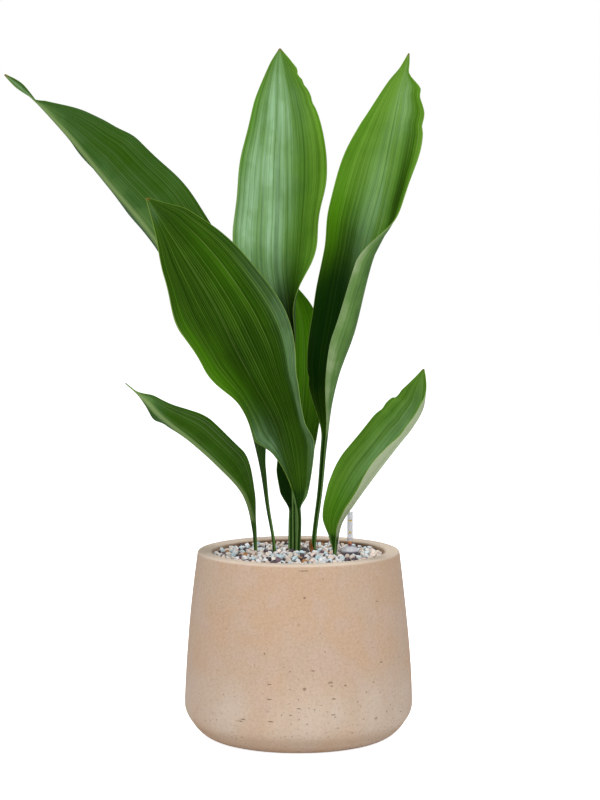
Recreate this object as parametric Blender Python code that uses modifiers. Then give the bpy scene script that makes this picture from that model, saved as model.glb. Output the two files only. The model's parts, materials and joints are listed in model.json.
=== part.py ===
"""Cast iron plant (Aspidistra elatior) in a cast fibre-concrete hydroculture planter.

Frame: the origin is the centre of the planter's flat foot, +Z is up and -Y is the side that
the planter is looked at from. All sizes and places below are in millimetres.

The planter and the substrate are turned, the gauge is turned and cut, the rhizome is a thick
curved rod, and each leaf is one loft, from the foot of its channelled stalk to the tip of its
blade.
"""

import math

import bmesh
import bpy
import numpy as np

MM = 0.001
GAP = 0.3  # between pieces that touch
ROUND_STEPS = 48

# Planter: nearly straight wall, widest just above a rounded-off foot.
PLANTER_HEIGHT = 190.0
RIM_RADIUS = 101.6
LIP_ROUND = 3.2
MOUTH_RADIUS = 87.0
BELLY_RADIUS = 114.9
BELLY_HEIGHT = 46.0
WALL_SWELL = 1.0
FOOT_CURVE = [(115.2, 38.0), (114.9, 31.0), (112.6, 24.4), (108.8, 18.2), (104.2, 12.0), (97.8, 6.0),
              (90.0, 1.9), (80.5, 0.0)]
WALL = 14.5
FLOOR = 18.0
CAVITY = [(84.0, FLOOR), (92.0, 21.0), (97.0, 29.0), (BELLY_RADIUS - WALL, BELLY_HEIGHT),
          (MOUTH_RADIUS, PLANTER_HEIGHT - 14.0)]
MOUTH_ROUND = 3.0
WALL_HEIGHTS = (165.0, 140.0, 115.0, 90.0, 68.0)

# Substrate: mineral granules, level just under the rim.
SUBSTRATE_TOP = 183.0

# Rhizome: the creeping stem just under the granules, with the stalks' feet on it and roots below.
RHIZOME_PATH = [(-52, 18), (-43, 19), (-24, 25), (-6, 28), (6, 24), (16, 22), (28, 8), (36, -9),
                (41, -19)]
RHIZOME_HEIGHT = 163.0
RHIZOME_RADIUS = 6.5
RHIZOME_STEPS = 20
RHIZOME_KNOBS = 0.14  # share of the radius that comes and goes along the stem
KNOB_TURN = 2.2  # radians of knob per step
RHIZOME_END = 0.6  # the ends' share of the radius
ROOT_RADIUS = 2.2
ROOT_TIP = 0.45  # the root tip's share of the radius
ROOT_LENGTH = 95.0
ROOT_STEPS = 8
ROOT_STRAY = (0.7, -1.1)  # how a root's stray is shared between X and Y
# Each root's place on the stem, and how far it strays.
ROOTS = [(-38, 20, -28), (-20, 25, 22), (2, 25, -16), (18, 20, 26), (33, -2, -30)]
FOOT_HEIGHT = RHIZOME_HEIGHT + RHIZOME_RADIUS + GAP
STALK_ROOM = 3.4  # radius of the hole that each stalk stands in
CUT_PAST = 10.0  # how far a cutter runs past the surface that it opens

# Dry sheath: the papery scale leaf that wraps the right-hand stalk's foot.
SHEATH_RADIUS = 3.7
SHEATH_WALL = 0.7
SHEATH_WRAP = 200.0
SHEATH_BEARING = 205.0
SHEATH_TOP = 199.0
SHEATH_SHOULDER = 16.0  # how far its sides stand below its point

# Water gauge: a slotted housing standing on the planter's floor, a clear cap, and a float on a
# rod whose red tip shows in the clear tube.
GAUGE_X, GAUGE_Y = 52.0, 0.0
GAUGE_STEPS = 24
HOUSING_RADIUS = 9.2
HOUSING_BORE = 7.8
HOUSING_TOP = 188.4
SLOT_WIDTH = 2.2
SLOT_BOTTOM, SLOT_TOP = 24.0, 58.0
CAP_TUBE_RADIUS = 3.25
CAP_TUBE_BORE = 2.45
CAP_CONE_TOP = 194.5
CAP_TOP = 228.7
CAP_WALL = 0.8
CAP_SKIRT = 1.2
CAP_SPIGOT = 6.0
EDGE_BREAK = 0.5
FLOAT_RADIUS = 6.2
FLOAT_BORE = 1.1
FLOAT_BOTTOM, FLOAT_TOP = 26.0, 70.0
FLOAT_BEVEL = 1.5
ROD_RADIUS = 0.8
ROD_TIP_RADIUS = 1.7
ROD_BOTTOM, ROD_TIP_BOTTOM, ROD_TOP = 30.0, 194.6, 198.6
ROD_STEPS = 12

# Leaves. Each station up a leaf gives the midrib's place (x, y, z), the bearing that the upper
# face looks to (0 is -Y, 90 is +X), and for the left and the right half of the blade its width,
# how far it is lifted out of flat towards the upper face, and how far it curls on from there.
STALK_THICKNESS = 2.4
BLADE_THICKNESS = 0.9
EDGE_THICKNESS = 0.6
KEEL_FADE = 0.15  # share of the blade's length in which the stalk's thickness fades from the keel
KEEL_REACH = 3.5  # and how far to each side of the midrib it reaches
LEAF_STATIONS = 24
HALF_STEPS = 4

# The number after a leaf's name is the station where its blade starts.
LEAVES = {
    "leaf_rear_left": (4, [
        ((-24, 26, FOOT_HEIGHT), 90, (1.6, 35, 0), (1.6, 35, 0)),
        ((-24, 26, 186), 90, (1.6, 35, 0), (1.6, 35, 0)),
        ((-31, 30, 230), 95, (2.3, 40, 0), (2.3, 40, 0)),
        ((-37, 34, 268), 100, (4.6, 48, 0), (4.6, 48, 0)),
        ((-44, 38, 298), 105, (12, 52, 8), (12, 52, 8)),
        ((-96, 60, 413), 120, (45, 42, 10), (42, 42, 10)),
        ((-153, 80, 505), 127, (60, 40, 5), (56, 38, 5)),
        ((-205, 95, 566), 127, (54, 38, 5), (48, 42, 5)),
        ((-241, 103, 609), 124, (33, 36, 0), (30, 40, 0)),
        ((-266, 107, 636), 108, (10, 30, 0), (8, 25, 0)),
        ((-274, 108, 644), 84, (4, 18, 0), (4, 18, 0)),
        ((-288, 109, 657), 58, (5, 12, 0), (5, 12, 0)),
        ((-304, 110, 670), 50, (0.8, 10, 0), (0.8, 10, 0))]),
    "leaf_rear_middle": (3, [
        ((-4, 26, FOOT_HEIGHT), 0, (1.4, 35, 0), (1.4, 35, 0)),
        ((-4, 26, 186), 0, (1.4, 35, 0), (1.4, 35, 0)),
        ((-5, 30, 280), 0, (1.6, 38, 0), (1.6, 38, 0)),
        ((-6, 34, 359), 5, (4, 50, 10), (4, 60, 20)),
        ((-9, 38, 423), 8, (38, 30, 10), (36, 72, 40)),
        ((-14, 42, 475), 8, (55, 12, 5), (47, 52, 25)),
        ((-13, 48, 525), 6, (54, 8, 5), (46, 38, 15)),
        ((-13, 55, 578), 4, (47, 8, 5), (46, 25, 10)),
        ((-14, 64, 640), 3, (32, 5, 5), (29, 15, 5)),
        ((-18, 68, 680), 0, (11.5, 5, 0), (11.5, 5, 0)),
        ((-19, 70, 695), 0, (0.8, 5, 0), (0.8, 5, 0))]),
    "leaf_right": (3, [
        ((15, 22, FOOT_HEIGHT), -20, (1.7, 35, 0), (1.7, 35, 0)),
        ((15, 22, 186), -20, (1.7, 35, 0), (1.7, 35, 0)),
        ((22, 16, 250), -25, (2.3, 40, 0), (2.3, 40, 0)),
        ((27, 12, 300), -30, (4, 50, 10), (4, 50, 30)),
        ((36, 4, 360), -30, (28, 15, 10), (30, 35, 90)),
        ((48, 0, 412), -30, (38, 10, 10), (46, 8, 150)),
        ((61, -6, 483), -28, (38, 10, 10), (48, -5, 150)),
        ((70, -10, 520), -27, (43, 8, 5), (48, -12, 110)),
        ((79, -12, 552), -25, (46, 5, 5), (44, 10, 40)),
        ((91, -14, 611), -25, (34, -3, 5), (35, 5, 0)),
        ((101, -12, 656), -25, (14, -3, 0), (23, 0, 0)),
        ((105, -11, 669), -22, (7, 0, 0), (6, 0, 0)),
        ((109, -10, 687), -20, (0.5, 0, 0), (0.5, 0, 0))]),
    "leaf_front": (3, [
        ((0, 19, FOOT_HEIGHT), 20, (1.7, 35, 0), (1.7, 35, 0)),
        ((0, 19, 186), 20, (1.7, 35, 0), (1.7, 35, 0)),
        ((0, 12, 228), 20, (1.9, 40, 0), (1.9, 40, 0)),
        ((-3, 6, 245), 22, (3, 40, 0), (13, 45, 0)),
        ((-14, -4, 288), 24, (11, 18, 5), (32, 36, 15)),
        ((-24, -12, 321), 24, (34, 20, 8), (44, 43, 50)),
        ((-42, -22, 356), 24, (35, 25, 8), (56, 40, 50)),
        ((-64, -32, 399), 23, (47, 20, 5), (61, 12, 20)),
        ((-82, -40, 437), 22, (49, 15, 5), (57, 15, 10)),
        ((-110, -46, 484), 20, (38, 28, 5), (45, 15, 5)),
        ((-130, -46, 515), 20, (18, 38, 0), (30, 15, 0)),
        ((-149, -42, 545), 20, (0.8, 30, 0), (0.8, 15, 0))]),
    "leaf_low_left": (2, [
        ((-43, 19, FOOT_HEIGHT), 100, (1.5, 35, 0), (1.5, 35, 0)),
        ((-43, 19, 186), 100, (1.5, 35, 0), (1.5, 35, 0)),
        ((-46, 16, 215), 105, (4, 40, 0), (4, 20, 0)),
        ((-55, 10, 244), 115, (14, 32, 5), (13, 12, 5)),
        ((-81, 0, 275), 122, (34, 32, 5), (31, 27, 5)),
        ((-107, -10, 300), 124, (33, 30, 5), (32, 30, 5)),
        ((-127, -16, 317), 125, (27, 28, 5), (26, 25, 5)),
        ((-141, -20, 330), 126, (19, 25, 5), (14, 10, 0)),
        ((-152, -22, 342), 125, (12, 25, 0), (6, 12, 0)),
        ((-164, -24, 354), 110, (1.2, 20, 0), (1.2, 20, 0)),
        ((-172, -24, 361), 100, (0.6, 20, 0), (0.6, 20, 0))]),
    "leaf_low_right": (2, [
        ((36, -9, FOOT_HEIGHT), -55, (1.5, 35, 0), (1.5, 35, 0)),
        ((36, -9, 186), -55, (1.5, 35, 0), (1.5, 35, 0)),
        ((38, -12, 203), -57, (8, 42, 0), (5, 45, 0)),
        ((42, -15, 218), -58, (20, 42, 5), (14, 50, 0)),
        ((56, -20, 240), -60, (33, 38, 5), (28, 55, 0)),
        ((77, -27, 270), -60, (39, 35, 5), (38, 55, 5)),
        ((100, -33, 301), -60, (38, 33, 5), (37, 54, 5)),
        ((113, -35, 318), -60, (37, 32, 5), (33, 52, 5)),
        ((124, -36, 340), -58, (33, 30, 5), (24, 42, 5)),
        ((125, -36, 354), -55, (25, 28, 0), (12, 32, 0)),
        ((123.5, -36, 376), -50, (0.8, 20, 0), (0.8, 20, 0))]),
    "leaf_rear_low": (2, [
        ((-8, 33, FOOT_HEIGHT), 20, (1.4, 35, 0), (1.4, 35, 0)),
        ((-8, 33, 186), 20, (1.4, 35, 0), (1.4, 35, 0)),
        ((-7, 40, 222), 20, (3, 35, 0), (2, 35, 0)),
        ((-5, 44, 240), 20, (21, 25, 5), (7, 25, 5)),
        ((-2, 50, 262), 20, (28, 20, 5), (12, 22, 5)),
        ((2, 60, 305), 18, (23, 20, 5), (18, 20, 5)),
        ((6, 76, 370), 15, (22, 20, 5), (21, 18, 5)),
        ((3, 88, 421), 12, (17, 20, 5), (15, 15, 5)),
        ((-8, 96, 457), 10, (0.8, 20, 0), (0.8, 20, 0))]),
}

PLANTER_BEIGE = ("planter", (0.55, 0.39, 0.27, 1.0), 0.85)
GRANULES = ("granules", (0.58, 0.54, 0.50, 1.0), 0.9)
RHIZOME_BROWN = ("rhizome", (0.30, 0.19, 0.09, 1.0), 0.8)
LEAF_GREEN = ("leaf", (0.045, 0.13, 0.02, 1.0), 0.4)
SHEATH_BROWN = ("dry_sheath", (0.25, 0.13, 0.05, 1.0), 0.8)
GAUGE_GREY = ("gauge_grey", (0.12, 0.11, 0.13, 1.0), 0.4)
GAUGE_CLEAR = ("gauge_clear", (0.8, 0.8, 0.82, 1.0), 0.15)
FLOAT_WHITE = ("float_white", (0.75, 0.75, 0.73, 1.0), 0.6)
ROD_RED = ("rod_red", (0.6, 0.08, 0.03, 1.0), 0.4)


def clear_scene():
    """Remove whatever the file opens with."""
    for obj in list(bpy.data.objects):
        bpy.data.objects.remove(obj, do_unlink=True)


def new_collection(name):
    collection = bpy.data.collections.new(name)
    bpy.context.scene.collection.children.link(collection)
    return collection


def material(finish):
    """The Principled material for a (name, colour, roughness) finish, made once."""
    name, colour, roughness = finish
    found = bpy.data.materials.get(name)
    if found:
        return found
    made = bpy.data.materials.new(name)
    made.use_nodes = True
    shader = made.node_tree.nodes["Principled BSDF"]
    shader.inputs["Base Color"].default_value = colour
    shader.inputs["Roughness"].default_value = roughness
    shader.inputs["Metallic"].default_value = 0.0
    made.diffuse_color = colour
    return made


def add_mesh(name, vertices, faces, collection, finish=None, edges=()):
    """An object from points in millimetres."""
    mesh = bpy.data.meshes.new(name)
    mesh.from_pydata([tuple(MM * c for c in v) for v in vertices], list(edges), list(faces))
    mesh.update()
    obj = bpy.data.objects.new(name, mesh)
    collection.objects.link(obj)
    if finish:
        mesh.materials.append(material(finish))
    return obj


def turned(name, profile, collection, finish=None, centre=(0.0, 0.0), steps=ROUND_STEPS):
    """A body of revolution: profile is (radius, height) points round the section, down its outer side."""
    points = [(r, 0.0, z) for r, z in profile]
    closed = profile[0][0] > 0 or profile[-1][0] > 0
    edges = [(i, i + 1) for i in range(len(points) - 1)]
    if closed:
        edges.append((len(points) - 1, 0))
    obj = add_mesh(name, points, [], collection, finish, edges)
    obj.location = (centre[0] * MM, centre[1] * MM, 0.0)
    screw = obj.modifiers.new("turn", "SCREW")
    screw.axis = "Z"
    screw.steps = screw.render_steps = steps
    screw.use_merge_vertices = True
    screw.merge_threshold = 0.00001
    screw.use_smooth_shade = True
    return obj


def arc(centre, radius, start, end, steps):
    """Points of an arc in the (radius, height) plane, angles in degrees."""
    angles = np.radians(np.linspace(start, end, steps + 1))
    return [(centre[0] + radius * math.cos(a), centre[1] + radius * math.sin(a)) for a in angles]


def cut(obj, cutter):
    """Subtract the cutter from the object, and keep the cutter as a wire guide."""
    boolean = obj.modifiers.new("cut_" + cutter.name, "BOOLEAN")
    boolean.operation = "DIFFERENCE"
    boolean.solver = "EXACT"
    boolean.object = cutter
    cutter.hide_render = True
    cutter.display_type = "WIRE"


def wall_radius(height):
    """Outer radius of the planter's wall above its belly: nearly straight, with a slight swell."""
    share = (height - BELLY_HEIGHT) / (PLANTER_HEIGHT - BELLY_HEIGHT)
    taper = (RIM_RADIUS - BELLY_RADIUS) * share ** 1.15
    return BELLY_RADIUS + taper + WALL_SWELL * math.sin(math.pi * share)


def planter(parts):
    """One cast piece: wall, rounded lip, floor and the rounded-off foot."""
    inside = [(0.0, FLOOR)] + CAVITY
    inside += arc((MOUTH_RADIUS + MOUTH_ROUND, PLANTER_HEIGHT - MOUTH_ROUND), MOUTH_ROUND, 180, 90, 3)
    lip = PLANTER_HEIGHT - LIP_ROUND
    outside = arc((wall_radius(lip) - LIP_ROUND, lip), LIP_ROUND, 90, 0, 4)
    outside += [(wall_radius(height), height) for height in WALL_HEIGHTS]
    outside += [(BELLY_RADIUS, BELLY_HEIGHT)] + FOOT_CURVE + [(0.0, 0.0)]
    return turned("planter", inside + outside, parts, PLANTER_BEIGE)


def smooth_path(points, count):
    """Points at even steps along a smooth curve through the given ones."""
    points = np.array(points, float)
    along = np.concatenate([[0.0], np.cumsum(np.linalg.norm(np.diff(points, axis=0), axis=1))])
    return hermite(along, points, np.linspace(0.0, along[-1], count), limited=False)


def rod(name, points, radii, collection, finish=None):
    """A closed rod of varying thickness along the points, as a mesh."""
    curve = bpy.data.curves.new(name, "CURVE")
    curve.dimensions = "3D"
    curve.bevel_depth = MM
    curve.bevel_resolution = 2
    curve.use_fill_caps = True
    spline = curve.splines.new("POLY")
    spline.points.add(len(points) - 1)
    for knot, place, radius in zip(spline.points, points, radii):
        knot.co = (*[MM * c for c in place], 1.0)
        knot.radius = radius
    guide = bpy.data.objects.new(name + "_path", curve)
    collection.objects.link(guide)
    bpy.context.view_layer.update()
    mesh = bpy.data.meshes.new_from_object(guide.evaluated_get(bpy.context.evaluated_depsgraph_get()))
    bpy.data.objects.remove(guide, do_unlink=True)
    bm = bmesh.new()
    bm.from_mesh(mesh)
    bmesh.ops.remove_doubles(bm, verts=bm.verts, dist=0.000001)
    bmesh.ops.recalc_face_normals(bm, faces=bm.faces)
    bm.to_mesh(mesh)
    bm.free()
    mesh.materials.clear()
    obj = bpy.data.objects.new(name, mesh)
    collection.objects.link(obj)
    if finish:
        mesh.materials.append(material(finish))
    mesh.shade_smooth()
    return obj


def join(obj, other):
    """Unite the other body with the object."""
    boolean = obj.modifiers.new("join_" + other.name, "BOOLEAN")
    boolean.operation = "UNION"
    boolean.solver = "EXACT"
    boolean.object = other
    other.hide_render = True
    other.display_type = "WIRE"


def root_path(x, y, stray):
    """A root's points, from inside the rhizome down and outwards."""
    along_x, along_y = ROOT_STRAY
    points = []
    for fall in np.linspace(0.0, 1.0, ROOT_STEPS):
        outward = stray * fall ** 1.6
        points.append((x + along_x * outward, y + along_y * outward, RHIZOME_HEIGHT - ROOT_LENGTH * fall))
    return points


def rhizome(parts, cutters, grow=0.0, name="rhizome"):
    """The knobbly creeping stem and its roots; grown by a gap, it is the room they take up.

    A root is a bevelled curve, narrower than its radius between two steps, so its room grows by
    two gaps, and by three at its tip.
    """
    path = [(x, y, RHIZOME_HEIGHT) for x, y in smooth_path(RHIZOME_PATH, RHIZOME_STEPS)]
    knobs = 0.5 + 0.5 * np.cos(np.arange(RHIZOME_STEPS) * KNOB_TURN)
    radii = RHIZOME_RADIUS * (1.0 - RHIZOME_KNOBS * (1.0 - knobs))
    radii[0] = radii[-1] = RHIZOME_END * RHIZOME_RADIUS
    finish = None if grow else RHIZOME_BROWN
    stem = rod(name, path, radii + grow, cutters if grow else parts, finish)
    for number, (x, y, stray) in enumerate(ROOTS):
        points = root_path(x, y, stray)
        thin = np.linspace(1.0, ROOT_TIP, ROOT_STEPS) * ROOT_RADIUS + 2.0 * grow
        if grow:
            points[-1] = (*points[-1][:2], points[-1][2] - 3.0 * grow)
        join(stem, rod(f"{name}_root_{number}", points, thin, cutters))
    return stem


def post(name, x, y, radius, bottom, top, cutters, steps=12):
    """A vertical cylinder to cut with."""
    return turned(name, [(0.0, top), (radius, top), (radius, bottom), (0.0, bottom)], cutters,
                  centre=(x, y), steps=steps)


def substrate(parts, cutters):
    """The granule bed, with room for the rhizome, the stalks and the gauge."""
    low, high = CAVITY[-2:]
    share = (SUBSTRATE_TOP - low[1]) / (high[1] - low[1])
    top_radius = min(MOUTH_RADIUS, low[0] + share * (high[0] - low[0])) - GAP
    side = [(radius - GAP, height + GAP) for radius, height in CAVITY]
    profile = [(0.0, SUBSTRATE_TOP), (top_radius, SUBSTRATE_TOP)] + side[::-1] + [(0.0, FLOOR + GAP)]
    bed = turned("substrate", profile, parts, GRANULES)
    cut(bed, rhizome(parts, cutters, grow=GAP, name="rhizome_room"))
    for name, (_, stations) in LEAVES.items():
        x, y, _ = stations[0][0]
        room = STALK_ROOM
        if name == "leaf_right":
            room = SHEATH_RADIUS + SHEATH_WALL + GAP
        cut(bed, post(name + "_room", x, y, room, RHIZOME_HEIGHT, SUBSTRATE_TOP + CUT_PAST, cutters))
    cut(bed, post("gauge_room", GAUGE_X, GAUGE_Y, HOUSING_RADIUS + GAP, FLOOR - CUT_PAST,
                  SUBSTRATE_TOP + CUT_PAST, cutters, GAUGE_STEPS))
    return bed


def dry_sheath(parts):
    """A pointed scale, wrapped part of the way round the right-hand stalk."""
    x, y, foot = LEAVES["leaf_right"][1][0][0]
    across, up = 12, 5
    points, faces = [], []
    for i in range(across + 1):
        turn = 2.0 * i / across - 1.0
        angle = math.radians(SHEATH_BEARING + 0.5 * SHEATH_WRAP * turn)
        out_x, out_y = SHEATH_RADIUS * math.cos(angle), SHEATH_RADIUS * math.sin(angle)
        top = SHEATH_TOP - SHEATH_SHOULDER * abs(turn) ** 1.3
        for j in range(up + 1):
            height = foot + GAP + (top - foot - GAP) * j / up
            points.append((x + out_x, y + out_y, height))
    for i in range(across):
        for j in range(up):
            k = i * (up + 1) + j
            faces.append((k, k + up + 1, k + up + 2, k + 1))
    scale = add_mesh("dry_sheath", points, faces, parts, SHEATH_BROWN)
    thicken = scale.modifiers.new("thickness", "SOLIDIFY")
    thicken.thickness = SHEATH_WALL * MM
    thicken.offset = 1.0
    return scale


def gauge(parts, cutters):
    """Housing, clear cap, float and rod, all turned about the gauge's own axis."""
    centre = (GAUGE_X, GAUGE_Y)
    foot = FLOOR + GAP
    housing = turned("gauge_housing", [
        (HOUSING_BORE, HOUSING_TOP), (HOUSING_RADIUS - EDGE_BREAK, HOUSING_TOP),
        (HOUSING_RADIUS, HOUSING_TOP - EDGE_BREAK), (HOUSING_RADIUS, foot), (HOUSING_BORE, foot)],
        parts, GAUGE_GREY, centre, GAUGE_STEPS)
    slot_shape = box_shape(4 * HOUSING_RADIUS, SLOT_WIDTH, SLOT_TOP - SLOT_BOTTOM)
    for turn in (45.0, 135.0):
        slot = add_mesh(f"slot_{int(turn)}", *slot_shape, cutters)
        slot.location = (GAUGE_X * MM, GAUGE_Y * MM, 0.5 * (SLOT_BOTTOM + SLOT_TOP) * MM)
        slot.rotation_euler.z = math.radians(turn)
        cut(housing, slot)

    seat = HOUSING_TOP + GAP
    spigot = HOUSING_BORE - GAP
    spigot_bottom = seat - CAP_SPIGOT
    turned("gauge_cap", [
        (0.0, CAP_TOP), (CAP_TUBE_RADIUS - EDGE_BREAK, CAP_TOP), (CAP_TUBE_RADIUS, CAP_TOP - EDGE_BREAK),
        (CAP_TUBE_RADIUS, CAP_CONE_TOP), (HOUSING_RADIUS, seat + CAP_SKIRT), (HOUSING_RADIUS, seat),
        (spigot, seat), (spigot, spigot_bottom), (spigot - CAP_WALL, spigot_bottom),
        (spigot - CAP_WALL, seat + 0.5 * CAP_WALL), (CAP_TUBE_BORE, CAP_CONE_TOP - CAP_WALL),
        (CAP_TUBE_BORE, CAP_TOP - CAP_WALL), (0.0, CAP_TOP - CAP_WALL)],
        parts, GAUGE_CLEAR, centre, GAUGE_STEPS)

    turned("gauge_float", [
        (FLOAT_BORE, FLOAT_TOP), (FLOAT_RADIUS - FLOAT_BEVEL, FLOAT_TOP),
        (FLOAT_RADIUS, FLOAT_TOP - FLOAT_BEVEL), (FLOAT_RADIUS, FLOAT_BOTTOM + FLOAT_BEVEL),
        (FLOAT_RADIUS - FLOAT_BEVEL, FLOAT_BOTTOM), (FLOAT_BORE, FLOAT_BOTTOM)],
        parts, FLOAT_WHITE, centre, GAUGE_STEPS)
    turned("gauge_rod", [
        (0.0, ROD_TOP), (ROD_TIP_RADIUS - EDGE_BREAK, ROD_TOP), (ROD_TIP_RADIUS, ROD_TOP - EDGE_BREAK),
        (ROD_TIP_RADIUS, ROD_TIP_BOTTOM + EDGE_BREAK), (ROD_RADIUS, ROD_TIP_BOTTOM),
        (ROD_RADIUS, ROD_BOTTOM), (0.0, ROD_BOTTOM)], parts, ROD_RED, centre, ROD_STEPS)


def box_shape(length, width, height):
    """Vertices and faces of a box about its centre, in millimetres, for add_mesh."""
    bm = bmesh.new()
    bmesh.ops.create_cube(bm, size=1.0)
    points = [(v.co.x * length, v.co.y * width, v.co.z * height) for v in bm.verts]
    faces = [tuple(v.index for v in face.verts) for face in bm.faces]
    bm.free()
    return points, faces


def hermite(knots, values, at, limited):
    """Smooth curve through rows of values; limited slopes never overshoot between two knots."""
    knots, values, at = np.asarray(knots, float), np.asarray(values, float), np.asarray(at, float)
    span = np.diff(knots)[:, None]
    rise = np.diff(values, axis=0) / span
    slope = np.empty_like(values)
    slope[0], slope[-1] = rise[0], rise[-1]
    before, after = rise[:-1], rise[1:]
    if limited:
        same = before * after > 0
        total = np.where(same, before + after, 1.0)
        slope[1:-1] = np.where(same, 2 * before * after / total, 0.0)
    else:
        slope[1:-1] = (before * span[1:] + after * span[:-1]) / (span[1:] + span[:-1])
    place = np.clip(np.searchsorted(knots, at, side="right") - 1, 0, len(knots) - 2)
    h = np.diff(knots)[place][:, None]
    t = ((at - knots[place])[:, None]) / h
    return ((1 + 2 * t) * (1 - t) ** 2 * values[place] + t * (1 - t) ** 2 * h * slope[place]
            + t * t * (3 - 2 * t) * values[place + 1] + t * t * (t - 1) * h * slope[place + 1])


def leaf_rings(blade_station, stations, count, half_steps):
    """Closed cross-sections of a leaf, from its foot to its tip, as one array of points in mm.

    A ring runs along the upper skin from the left margin to the right one, and back along the
    lower skin.
    """
    places = np.array([station[0] for station in stations], float)
    looks = np.array([(bearing, *left, *right) for place, bearing, left, right in stations], float)
    along = np.concatenate([[0.0], np.cumsum(np.linalg.norm(np.diff(places, axis=0), axis=1))])
    at = np.linspace(0.0, along[-1], count)
    spine = hermite(along, places, at, limited=False)
    bearing, left_width, left_lift, left_curl, right_width, right_lift, right_curl = hermite(
        along, looks, at, limited=True).T

    tangent = np.gradient(spine, at, axis=0)
    tangent /= np.linalg.norm(tangent, axis=1)[:, None]
    bearing = np.radians(bearing)
    facing = np.stack([np.sin(bearing), -np.cos(bearing), 0 * bearing], axis=1)
    up = facing - tangent * np.sum(facing * tangent, axis=1)[:, None]
    up /= np.linalg.norm(up, axis=1)[:, None]
    side = np.cross(tangent, up)

    into_blade = np.clip((at - along[blade_station]) / (along[-1] - along[blade_station]), 0.0, 1.0)
    keel = BLADE_THICKNESS + (STALK_THICKNESS - BLADE_THICKNESS) * np.exp(-into_blade / KEEL_FADE)

    share = np.linspace(0.0, 1.0, half_steps + 1)
    sheet = BLADE_THICKNESS + (EDGE_THICKNESS - BLADE_THICKNESS) * share
    skins = []
    for hand, width, lift, curl in ((-1, left_width, left_lift, left_curl),
                                    (1, right_width, right_lift, right_curl)):
        angle = np.radians(lift)[:, None] + np.radians(curl)[:, None] * share
        step = np.diff(share) * width[:, None]
        middle = 0.5 * (angle[:, 1:] + angle[:, :-1])
        start = np.zeros((count, 1))
        out = np.concatenate([start, np.cumsum(np.cos(middle) * step, axis=1)], axis=1)[..., None]
        rise = np.concatenate([start, np.cumsum(np.sin(middle) * step, axis=1)], axis=1)[..., None]
        upper = spine[:, None, :] + hand * side[:, None, :] * out + up[:, None, :] * rise
        angle[:, 0] = 0.0  # both halves share the midrib's normal
        cosine, sine = np.cos(angle)[..., None], np.sin(angle)[..., None]
        normal = up[:, None, :] * cosine - hand * side[:, None, :] * sine
        bulk = np.exp(-(share * width[:, None] / KEEL_REACH) ** 2)
        thick = sheet + np.maximum(keel[:, None] - sheet, 0.0) * bulk
        skins.append((upper, upper - normal * thick[..., None]))
    (left_upper, left_lower), (right_upper, right_lower) = skins
    upper = np.concatenate([left_upper[:, ::-1], right_upper[:, 1:]], axis=1)
    lower = np.concatenate([right_lower[:, ::-1], left_lower[:, 1:]], axis=1)
    return np.concatenate([upper, lower], axis=1)


def loft(name, rings, collection, finish):
    """Skin a run of leaf rings and close both ends.

    Upper and lower skin are split along the same diagonals, so a thin sheet that twists keeps its
    thickness.
    """
    count, size = rings.shape[:2]
    faces = []
    for i in range(count - 1):
        for j in range(size):
            here, there = i * size, (i + 1) * size
            k = (j + 1) % size
            if j < size // 2:
                faces += [(here + j, here + k, there + k), (here + j, there + k, there + j)]
            else:
                faces += [(here + j, here + k, there + j), (here + k, there + k, there + j)]
    faces.append(tuple(reversed(range(size))))
    faces.append(tuple((count - 1) * size + j for j in range(size)))
    obj = add_mesh(name, rings.reshape(-1, 3), faces, collection, finish)
    bm = bmesh.new()
    bm.from_mesh(obj.data)
    bmesh.ops.recalc_face_normals(bm, faces=bm.faces)
    bm.to_mesh(obj.data)
    bm.free()
    obj.data.shade_smooth()
    return obj


def leaves(parts):
    for name, (blade_station, stations) in LEAVES.items():
        loft(name, leaf_rings(blade_station, stations, LEAF_STATIONS, HALF_STEPS), parts, LEAF_GREEN)


clear_scene()
PARTS = new_collection("potted_cast_iron_plant")
CUTTERS = new_collection("cutters")
planter(PARTS)
rhizome(PARTS, CUTTERS)
substrate(PARTS, CUTTERS)
leaves(PARTS)
dry_sheath(PARTS)
gauge(PARTS, CUTTERS)
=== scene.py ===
import json
import math
from functools import partial

import bmesh
import bpy
import numpy as np
from mathutils import Matrix, Vector

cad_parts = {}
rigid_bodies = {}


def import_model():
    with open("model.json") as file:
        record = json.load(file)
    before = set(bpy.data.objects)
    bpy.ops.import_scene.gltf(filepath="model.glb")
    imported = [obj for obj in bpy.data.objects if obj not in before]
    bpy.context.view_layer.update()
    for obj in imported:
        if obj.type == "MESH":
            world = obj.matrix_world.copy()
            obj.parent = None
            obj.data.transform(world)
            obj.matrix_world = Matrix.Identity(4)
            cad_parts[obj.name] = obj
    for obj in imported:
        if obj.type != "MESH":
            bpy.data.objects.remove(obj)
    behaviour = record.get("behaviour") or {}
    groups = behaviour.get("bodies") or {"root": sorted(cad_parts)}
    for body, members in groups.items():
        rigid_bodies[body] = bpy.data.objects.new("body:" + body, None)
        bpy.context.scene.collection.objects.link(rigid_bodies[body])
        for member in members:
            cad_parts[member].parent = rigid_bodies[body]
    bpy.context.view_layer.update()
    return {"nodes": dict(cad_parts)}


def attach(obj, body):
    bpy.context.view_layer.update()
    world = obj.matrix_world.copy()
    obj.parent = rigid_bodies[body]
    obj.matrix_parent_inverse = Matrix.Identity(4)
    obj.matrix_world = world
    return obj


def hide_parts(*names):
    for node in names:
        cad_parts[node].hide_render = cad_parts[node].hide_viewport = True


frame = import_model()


# ---------------------------------------------------------------- studio
# A white table in a white room, a big soft light in front on the left and a weaker one on the
# right. The room lights the leaves less than it shows, so that their greens stay deep.
MM = 0.001
EYE = (0.0015, -2.6, 0.583)
EYE_DOWN = 5.3  # degrees
LENS = 117.0
SENSOR = 36.0
SHOWN, LIT = 1.0, 0.38  # the room as the camera sees it, and as it lights the plant
TABLE_GLOW = 0.9  # for the camera only
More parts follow.
